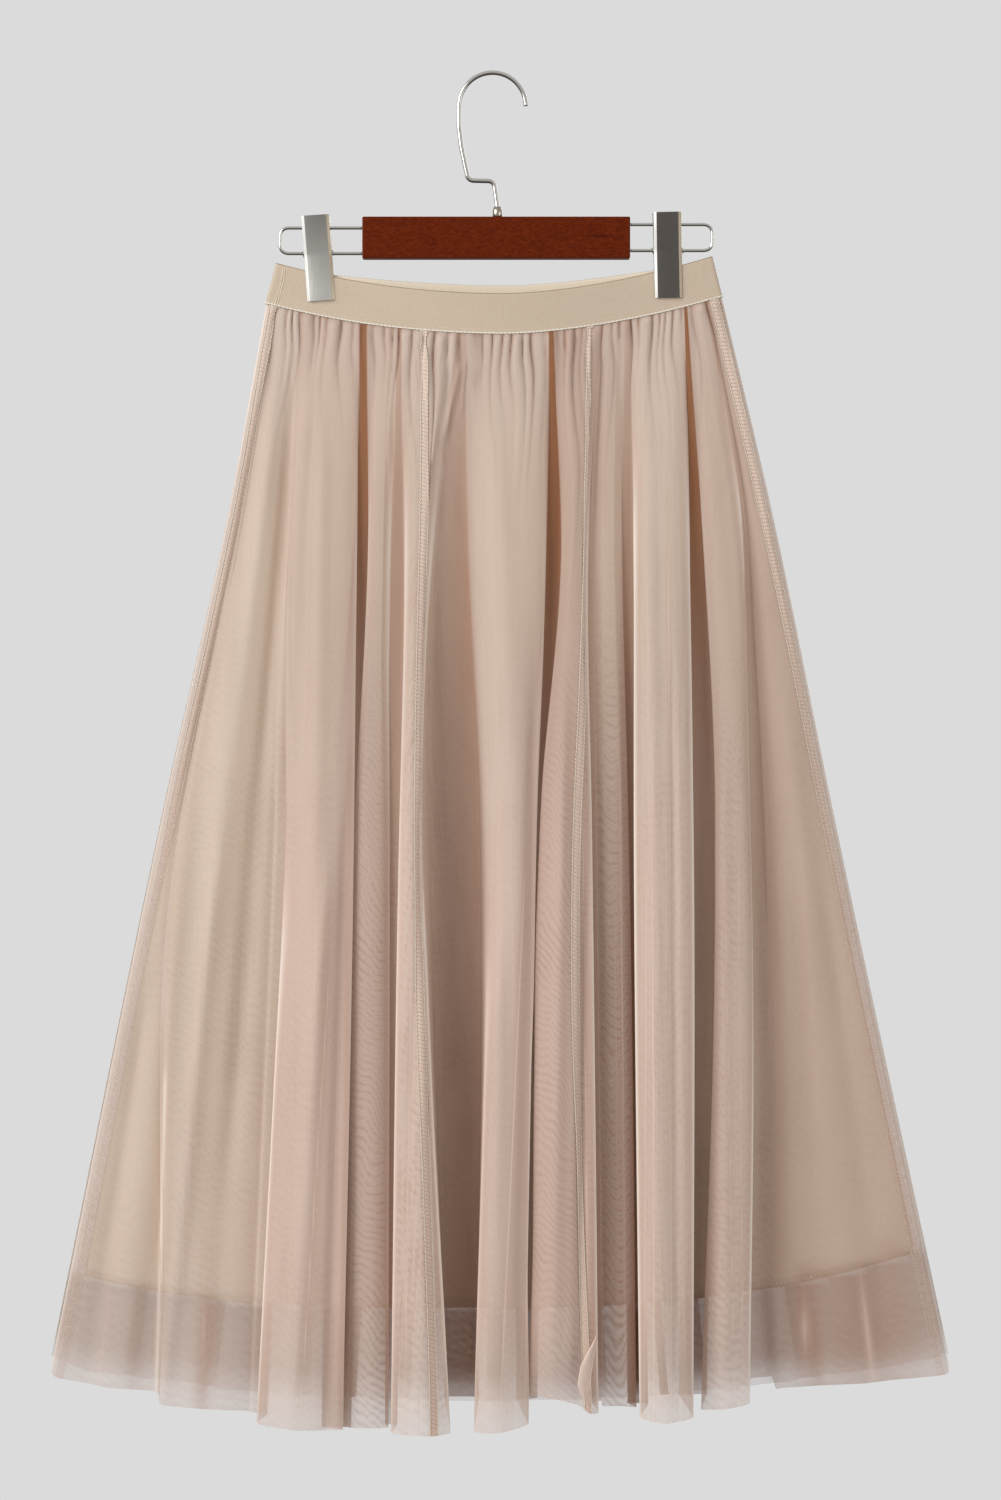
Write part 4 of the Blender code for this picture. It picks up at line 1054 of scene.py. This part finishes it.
# The elastic's section, with softened edges, carried round the loop
def makeBand(material, thread, bright, shadowLineThread):
    half, height, edge = band["wall"] / 2, band["height"], band["edge"]
    turn = np.linspace(0.0, pi / 2, band["edgeSteps"])
    bottom = [(half - edge * (1 - np.sin(t)), edge * (1 - np.cos(t))) for t in turn]
    top = [(half - edge * (1 - np.cos(t)), height - edge * (1 - np.sin(t))) for t in turn]
    up = [(half, edge + (height - 2 * edge) * share) for share in np.linspace(0.05, 0.95, 14)]
    outside = bottom + up + top
    section = [*outside, *((-offset, rise) for offset, rise in reversed(outside)), outside[0]]
    rings = np.array([bandRing(offset, rise / height) for offset, rise in section])
    rings = np.concatenate([rings, rings[:, :1]], axis=1)
    offsets, heights = np.array(section).T[..., None]
    uv = np.stack(np.broadcast_arrays(distancesAlong(rings).mean(axis=0), heights), axis=2)
    # Mark inner: painted light on the band's inner faces
    made = gridObject("waistband_elastic", rings, material, uv, {"inner": np.where(offsets < 0.0, 0.6, 0.0)})
    closeUp(made)
    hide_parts("waistband")
    # Picot: a bright twisted thread round the lower edge, and one round the upper edge that is painted
    # dark as a shadow line
    edges = []
    twist = np.arange(band["twists"]) * 1.05
    for offset, rise, radius in (
            (half + 0.2, 0.5, band["picot"]), (half - 0.3, height - 0.1, band["upperEdge"])):
        ring = bandRing(offset, rise / height)
        ring = np.concatenate([ring, ring[:3]])
        fine = resample(ring, band["twists"], ring)
        fine[:, 2] += 0.18 * np.sin(2.0 * twist)
        radii, finish = radius * (1.0 + 0.2 * np.sin(twist)), shadowLineThread if edges else bright
        up = np.broadcast_to((0.0, 0.0, 1.0), fine.shape)
        edges.append(tubesObject(f"band_edge_{len(edges)}", fine[None], up[None], radii, 5, finish))
    # Needle line above the lower edge: short sunk stitches
    ring = bandRing(half + 0.02, band["stitchRise"] / height)
    fine = resample(ring, band["stitches"] * 4, ring)
    at = np.arange(band["stitches"] - 1)[:, None] * 4 + np.arange(3)
    out = np.gradient(fine, axis=0)
    out = unit(np.stack([out[:, 1], -out[:, 0], 0 * out[:, 0]], axis=1))
    radii = band["stitch"] * np.array([0.4, 1.0, 0.4])
    edges.append(tubesObject("band_stitches", fine[at], out[at], radii, 4, thread))
    # Join at the wearer's right: a curved double ridge down the strip, sewn over
    fall = np.linspace(0.0, 1.0, 40)
    joins = []
    for shift in (-band["joinHalf"], band["joinHalf"]):
        x = band["joinX"] - band["joinLean"] * fall**1.5 + shift
        z = bandLow(x, False) + band["height"] * (1.0 - fall)
        narrow = 1.0 - (1.0 - band["topShare"]) * (1.0 - fall)
        wide = (x - band["mouthX"]) / narrow + band["mouthX"]
        joins.append(np.stack([x, -(mouth(wide) + band["wall"] + 0.1), z], axis=1))
    joins = np.array(joins)
    outward = np.broadcast_to((0.0, -1.0, 0.0), joins.shape)
    radii = np.interp(fall, (0.0, 0.04, 0.96, 1.0), (0.02, band["join"], band["join"], 0.02))
    edges.append(tubesObject("band_join", joins, outward, radii, 5, thread))
    return made, edges


# Hanger: wires as smooth round tubes, the nut turned, the bar with softened edges
hanger = {
    "hookWire": 1.6, "crook": 21.7, "crookTurn": 184.0, "neckBend": 4.0, "nutRadius": 3.4, "nutHeight": 7.2,
    "barLeft": -91.0, "barRight": 96.2, "barTop": -99.8, "barBottom": -128.8, "barThick": 12.0, "barEdge": 1.0,
    "loopWire": 1.15, "loopCorner": 6.5,
}
neck = ((-23.5, -36.0), (-21.9, -50.0), (-16.9, -73.9), (0.9, -74.3), (3.4, -92.0), (3.5, -96.5))
loops = {"left": (-91.3, -148.7, -107.1, -125.0), "right": (96.5, 153.8, -104.7, -122.9)}


# A path in x and z through corners, each inner one turned on an arc
def roundedPath(corners, radius, steps=10):
    corners = np.array(corners, float)
    path = [corners[0]]
    for before, corner, after in zip(corners, corners[1:], corners[2:]):
        near, far = ((other - corner) for other in (before, after))
        near, far = (side * min(radius, 0.45 * hypot(*side)) / hypot(*side) for side in (near, far))
        u = np.linspace(0.0, 1.0, steps)[:, None]
        path += list(corner + near * (1 - u) ** 2 + far * u * u)
    return np.array([*path, corners[-1]])


# A round tube along a path in x and z, with domed ends
def wireObject(name, path, radius, material):
    path = resample(path, int(distancesAlong(path)[-1] / 0.7), path)
    points = np.stack([path[:, 0], 0.0 * path[:, 0], path[:, 1]], axis=1)
    radii = np.full(len(points), radius)
    points = np.concatenate([points[:1], points[:1], points, points[-1:], points[-1:]])
    ends = points[3] - points[2], points[-3] - points[-4]
    points[0] = points[1] = points[2]
    points[:2] -= ends[0] * np.array([[0.02], [0.01]])
    points[-2:] += ends[1] * np.array([[0.01], [0.02]])
    radii = np.concatenate([[0.0, 0.85 * radius], radii, [0.85 * radius, 0.0]])
    up = np.broadcast_to((0.0, 1.0, 0.0), points.shape)
    made = tubesObject(name, points[None], up[None], radii, 20, material)
    return made


# Radius and height pairs turned round an upright axis at (x, z)
def latheObject(name, profile, x, z, material, steps=48):
    turn = np.arange(steps) / steps * 2.0 * pi
    radius, rise = np.array(profile, float).T
    points = np.stack(np.broadcast_arrays(
        x + radius[:, None] * np.cos(turn), radius[:, None] * np.sin(turn), z + rise[:, None]), axis=2)
    return closeUp(gridObject(name, points, material, around=True), 0.002)


# Clip plates: a channel of pressed sheet with bevelled long edges, a painted highlight on the
# left bevel and a painted reflection on the right. Sections run up the plate: height and depth
# of the face
clip = {
    "width": 19.5, "above": 25.8, "below": 33.4, "sheet": 1.0, "bevel": 1.9, "drop": 1.5, "lip": 2.45,
    "low": 3.9, "pivot": 4.1, "top": 9.6, "backExtra": 1.5, "coil": 2.0, "coilWire": 0.32, "coilLength": 22.4,
    "turns": 15,
}
clips = {"left": (-122.1, -125.0, 3.9), "right": (122.6, -122.9, 1.2)}


# Points across, outwards and up a clip, turned by its tilt and set in place
def clipPoints(points, side, sign):
    x, z, tilt = clips[side]
    across, depth, rise = np.moveaxis(points, -1, 0)
    turn = radians(-tilt)
    return np.stack([
        x + across * np.cos(turn) + rise * np.sin(turn), -sign * depth,
        z - across * np.sin(turn) + rise * np.cos(turn)], axis=-1)


def makePlate(side, face, sign, above, finishes):
    half, metal, bevel, drop = clip["width"] / 2, clip["sheet"], clip["bevel"], clip["drop"]
    low = -clip["below"]
    rises = np.array([low, low + 0.35, -20.0, -4.0, -1.5, 0.0, 1.5, 4.0, 12.0, above - 0.35, above])
    bend = smooth((rises + 1.5) / 3.0)
    slope = (clip["top"] - clip["pivot"]) / clip["above"]
    depths = clip["low"] + (clip["pivot"] - clip["low"]) * bend + slope * np.clip(rises, 0.0, None)
    # Outer outline from one lip over the face to the other, then back along the inside
    sections = []
    for rise, depth in zip(rises, depths):
        ends = 0.18 if rise in (rises[0], rises[-1]) else 0.0
        left = [(-half, clip["lip"]), (-half, depth - drop - 0.25), (-half + 0.12, depth - drop + 0.1),
                (-half + bevel - 0.25, depth - 0.12), (-half + bevel + 0.2, depth)]
        outer = left + [(-x, y) for x, y in reversed(left)]
        inner = [(-half + metal, clip["lip"]), (-half + metal, depth - drop - 0.4),
                 (-half + bevel + 0.3, depth - metal)]
        inner = [(-x, y) for x, y in inner] + [(x, y) for x, y in reversed(inner)]
        ring = np.array(outer + inner)
        middle = ring.mean(axis=0)
        ring = middle + (ring - middle) * (1.0 - ends / half)
        sections.append(np.column_stack([ring, np.full(len(ring), rise)]))
    sections = np.array(sections)
    made = gridObject(f"clip_{side}_{face}_plate", clipPoints(sections, side, sign), finishes[0], around=True)
    caps = bmesh.new()
    caps.from_mesh(made.data)
    caps.verts.ensure_lookup_table()
    count = sections.shape[1]
    for row in (0, len(rises) - 1):
        caps.faces.new([caps.verts[row * count + k] for k in range(count)])
    bmesh.ops.recalc_face_normals(caps, faces=caps.faces)
    caps.to_mesh(made.data)
    caps.free()
    for finish in finishes[1:]:
        made.data.materials.append(finish)
    # Faces of the bevels: index 1 takes the painted highlight, index 2 the painted reflection
    bright = np.zeros(len(made.data.polygons), np.int32)
    column = np.arange((len(rises) - 1) * count) % count
    bright[: len(column)] = np.isin(column, (1, 2, 3)) + 2 * np.isin(column, (5, 6, 7))
    made.data.polygons.foreach_set("material_index", bright)
    edge = made.modifiers.new("sharp", "EDGE_SPLIT")
    edge.split_angle = radians(24.0)
    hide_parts(f"clip_{side}_{face}")
    return made


def makeHanger():
    wire, wood = makeWire(), makeWood()
    nickel = makeSteel("nickelPlate", (196, 186, 172), 0.25, 0.3)
    # Bevel finishes: a painted highlight and a painted reflection on the clips' long edges
    edge = makeSteel("clipBevelPaintedHighlight", (252, 250, 246), 0.3, 0.1, metallic=0.4)
    bevelReflection = makeSteel("clipBevelPaintedReflection", (214, 198, 174), 0.3, 0.3, metallic=0.7)
    reach = hanger["crook"] + hanger["hookWire"]
    turn = np.radians(np.linspace(0.0, hanger["crookTurn"], 60))
    crook = np.stack([reach * np.cos(turn), -hanger["crook"] + reach * np.sin(turn)], axis=1)
    path = np.concatenate([crook, roundedPath(neck, hanger["neckBend"])])
    hook = wireObject("hook_wire", path, hanger["hookWire"], wire)
    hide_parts("hook")
    radius, height = hanger["nutRadius"], hanger["nutHeight"]
    profile = [(0.0, 0.0), (radius - 0.2, 0.0), (radius, 0.25), (radius, 0.66 * height),
               (radius - 0.15, 0.7 * height), (radius - 0.8, height - 0.15), (radius - 1.0, height),
               (1.75, height), (1.7, height - 0.6), (0.0, height - 0.6)]
    nut = latheObject("ferrule_nut", profile, neck[-1][0], hanger["barTop"] + 0.3, nickel)
    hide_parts("ferrule")
    # Bar: a block whose edges are softened
    mesh = bpy.data.meshes.new("hanger_bar_wood")
    work = bmesh.new()
    bmesh.ops.create_cube(work, size=1.0)
    low = np.array([hanger["barLeft"], -hanger["barThick"] / 2, hanger["barBottom"]])
    high = np.array([hanger["barRight"], hanger["barThick"] / 2, hanger["barTop"]])
    for vert in work.verts:
        vert.co = [mm * (a if c < 0 else b) for c, a, b in zip(vert.co, low, high)]
    bmesh.ops.bevel(
        work, geom=work.edges[:], offset=hanger["barEdge"] * mm, segments=4, affect="EDGES", profile=0.5)
    work.to_mesh(mesh)
    work.free()
    mesh.polygons.foreach_set("use_smooth", np.ones(len(mesh.polygons), bool))
    bar = linkObject("hanger_bar_wood", mesh, wood)
    split = bar.modifiers.new("flats", "WEIGHTED_NORMAL")
    split.weight = 100
    split.keep_sharp = False
    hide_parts("hanger_bar")
    for side, (start, end, upper, lower) in loops.items():
        path = roundedPath([(start, upper), (end, upper), (end, lower), (start, lower)], hanger["loopCorner"])
        made = wireObject(f"wire_loop_{side}_wire", path, hanger["loopWire"], wire)
        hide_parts(f"wire_loop_{side}")
    # The two clips are one steel, painted lit on the left clip and painted in shade on the right
    steels = {
        "left": makeSteel("clipSteelPaintedLit", (240, 238, 232), 0.3, 0.35, (162, 159, 154)),
        "right": makeSteel("clipSteelPaintedShade", (120, 115, 111), 0.3, 0.35),
    }
    for side, steel in steels.items():
        for face, sign, extra in (("front", 1, 0.0), ("back", -1, clip["backExtra"])):
            makePlate(side, face, sign, clip["above"] + extra, (steel, edge, bevelReflection))
        step = np.linspace(0.0, 1.0, clip["turns"] * 14)
        turn = step * clip["turns"] * 2 * pi
        circle = clip["coil"] * np.stack([np.cos(turn), np.sin(turn)])
        coil = np.stack([(step - 0.5) * clip["coilLength"], *circle], axis=1)
        radii = np.full(len(step), clip["coilWire"])
        radii[[0, -1]] = 0.0
        axis = np.stack([0 * step + 1.0, 0 * step, 0 * step], axis=1)
        made = tubesObject(f"clip_{side}_coil", clipPoints(coil, side, 1)[None], axis[None], radii, 6, nickel)
        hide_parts(f"clip_{side}_spring")


# Stage: a pale wall tone from the world, a floor, and a soft key from the upper left
lights = {
    "wall": (219, 219, 219), "ambient": 0.47, "key": 52.0, "keySize": 2.0, "keyAt": (-1.9, -1.5, 0.6),
    "fill": 15.0, "fillSize": 2.0, "fillAt": (2.4, -1.7, -0.4), "behind": 16.0, "behindSize": 2.0,
    "behindAt": (0.9, 2.4, 0.3), "floor": (176, 175, 173), "floorZ": -1.45, "floorRadius": 2.2,
    "aim": (0.0, 0.0, -0.5),
}


def addLight(name):
    power, size, place = lights[name], lights[name + "Size"], lights[name + "At"]
    data = bpy.data.lights.new(name, "AREA")
    data.shape, data.size, data.energy = "DISK", size, power
    made = bpy.data.objects.new(name, data)
    made.location = place
    gaze = [target - start for target, start in zip(lights["aim"], place)]
    made.rotation_euler = (atan2(hypot(gaze[0], gaze[1]), -gaze[2]), 0.0, atan2(-gaze[0], gaze[1]))
    bpy.context.scene.collection.objects.link(made)


def makeStage():
    scene = bpy.context.scene
    world = bpy.data.worlds.new("studio")
    scene.world = world
    world.use_nodes = True
    nodes, links = world.node_tree.nodes, world.node_tree.links
    soft, plain = nodes["Background"], nodes.new("ShaderNodeBackground")
    soft.inputs["Color"].default_value = seen(255, 253, 250)
    soft.inputs["Strength"].default_value = lights["ambient"]
    plain.inputs["Color"].default_value = seen(*lights["wall"])
    rays, mix = nodes.new("ShaderNodeLightPath"), nodes.new("ShaderNodeMixShader")
    links.new(rays.outputs["Is Camera Ray"], mix.inputs[0])
    links.new(soft.outputs[0], mix.inputs[1])
    links.new(plain.outputs[0], mix.inputs[2])
    links.new(mix.outputs[0], nodes["World Output"].inputs[0])
    for name in ("key", "fill", "behind"):
        addLight(name)
    turn = np.arange(64) / 64 * 2 * pi
    radius, height = lights["floorRadius"], lights["floorZ"]
    rim = [(radius * np.cos(t), radius * np.sin(t), height) for t in turn]
    mesh = bpy.data.meshes.new("floor")
    mesh.from_pydata(rim, [], [tuple(range(64))])
    mesh.materials.append(Finish("floorPaint", seen(*lights["floor"]), 0.9).material)
    floor = bpy.data.objects.new("floor", mesh)
    scene.collection.objects.link(floor)
    scene.view_settings.view_transform = "Standard"
    scene.view_settings.look = "None"
    scene.cycles.transparent_max_bounces = 24
    scene.cycles.max_bounces = 8


placeCamera()
print("camera placed")
tulle, knit, elastic = makeTulle(), makeLining(), makeElastic()
thread, bright = makeThread("overlockThread", (248, 234, 215)), makeThread("picotThread", (253, 244, 230))
hemThread = makeThread("hemThread", (255, 236, 200))
# The upper edge's thread is painted dark: a painted shadow line along the band's top
bandMade, bandEdges = makeBand(elastic, thread, bright, makeThread("upperEdgeShadowThread", (176, 152, 124)))
frontNet, frontCuts, frontGores = makeNet(
    "front", frontFolds, frontCreases, frontLines, frontShadows, False, tulle)
backNet, backCuts, backGores = makeNet(
    "back", backFolds, backCreases, backLines, backShadows, True, tulle)
flapMade = makeFlap(tulle)
print("net made")
seamPieces = {}
for name, points, cuts, back in (("front", frontNet, frontCuts, False), ("back", backNet, backCuts, True)):
    for place, cut in zip(("left", "right"), cuts[1:3]):
        seamPieces[name, place] = makeSeam(f"{name}_{place}", points, arcTo(points, cut), back, tulle, thread)
for place in ("left", "right"):
    reach = sideSeam["inset"] + sideSeam["spread"] * np.linspace(0.0, 1.0, len(frontNet))
    if place == "left":
        reach = arcInside(frontNet, reach)
    else:
        reach = arcTo(frontNet, frontNet.shape[1] - 1) - arcInside(frontNet[:, ::-1], reach)
    seamPieces["side", place] = makeSeam(
        f"side_{place}", frontNet, reach, False, tulle, thread, fade=overlock["sideFade"])
for side, folds, back in (("front", frontFolds, False), ("back", backFolds, True)):
    makeLiningPanel(side, folds, back, knit, hemThread)
print("lining made")
for name, made in (*frontGores.items(), *backGores.items()):
    face, place = name.split("_")
    beside = [] if place == "centre" else list(seamPieces[face, place])
    if face == "front" and place != "centre":
        beside += seamPieces["side", place]
    if name == "front_centre":
        beside = [flapMade]
makeHanger()
print("hanger made")
makeStage()
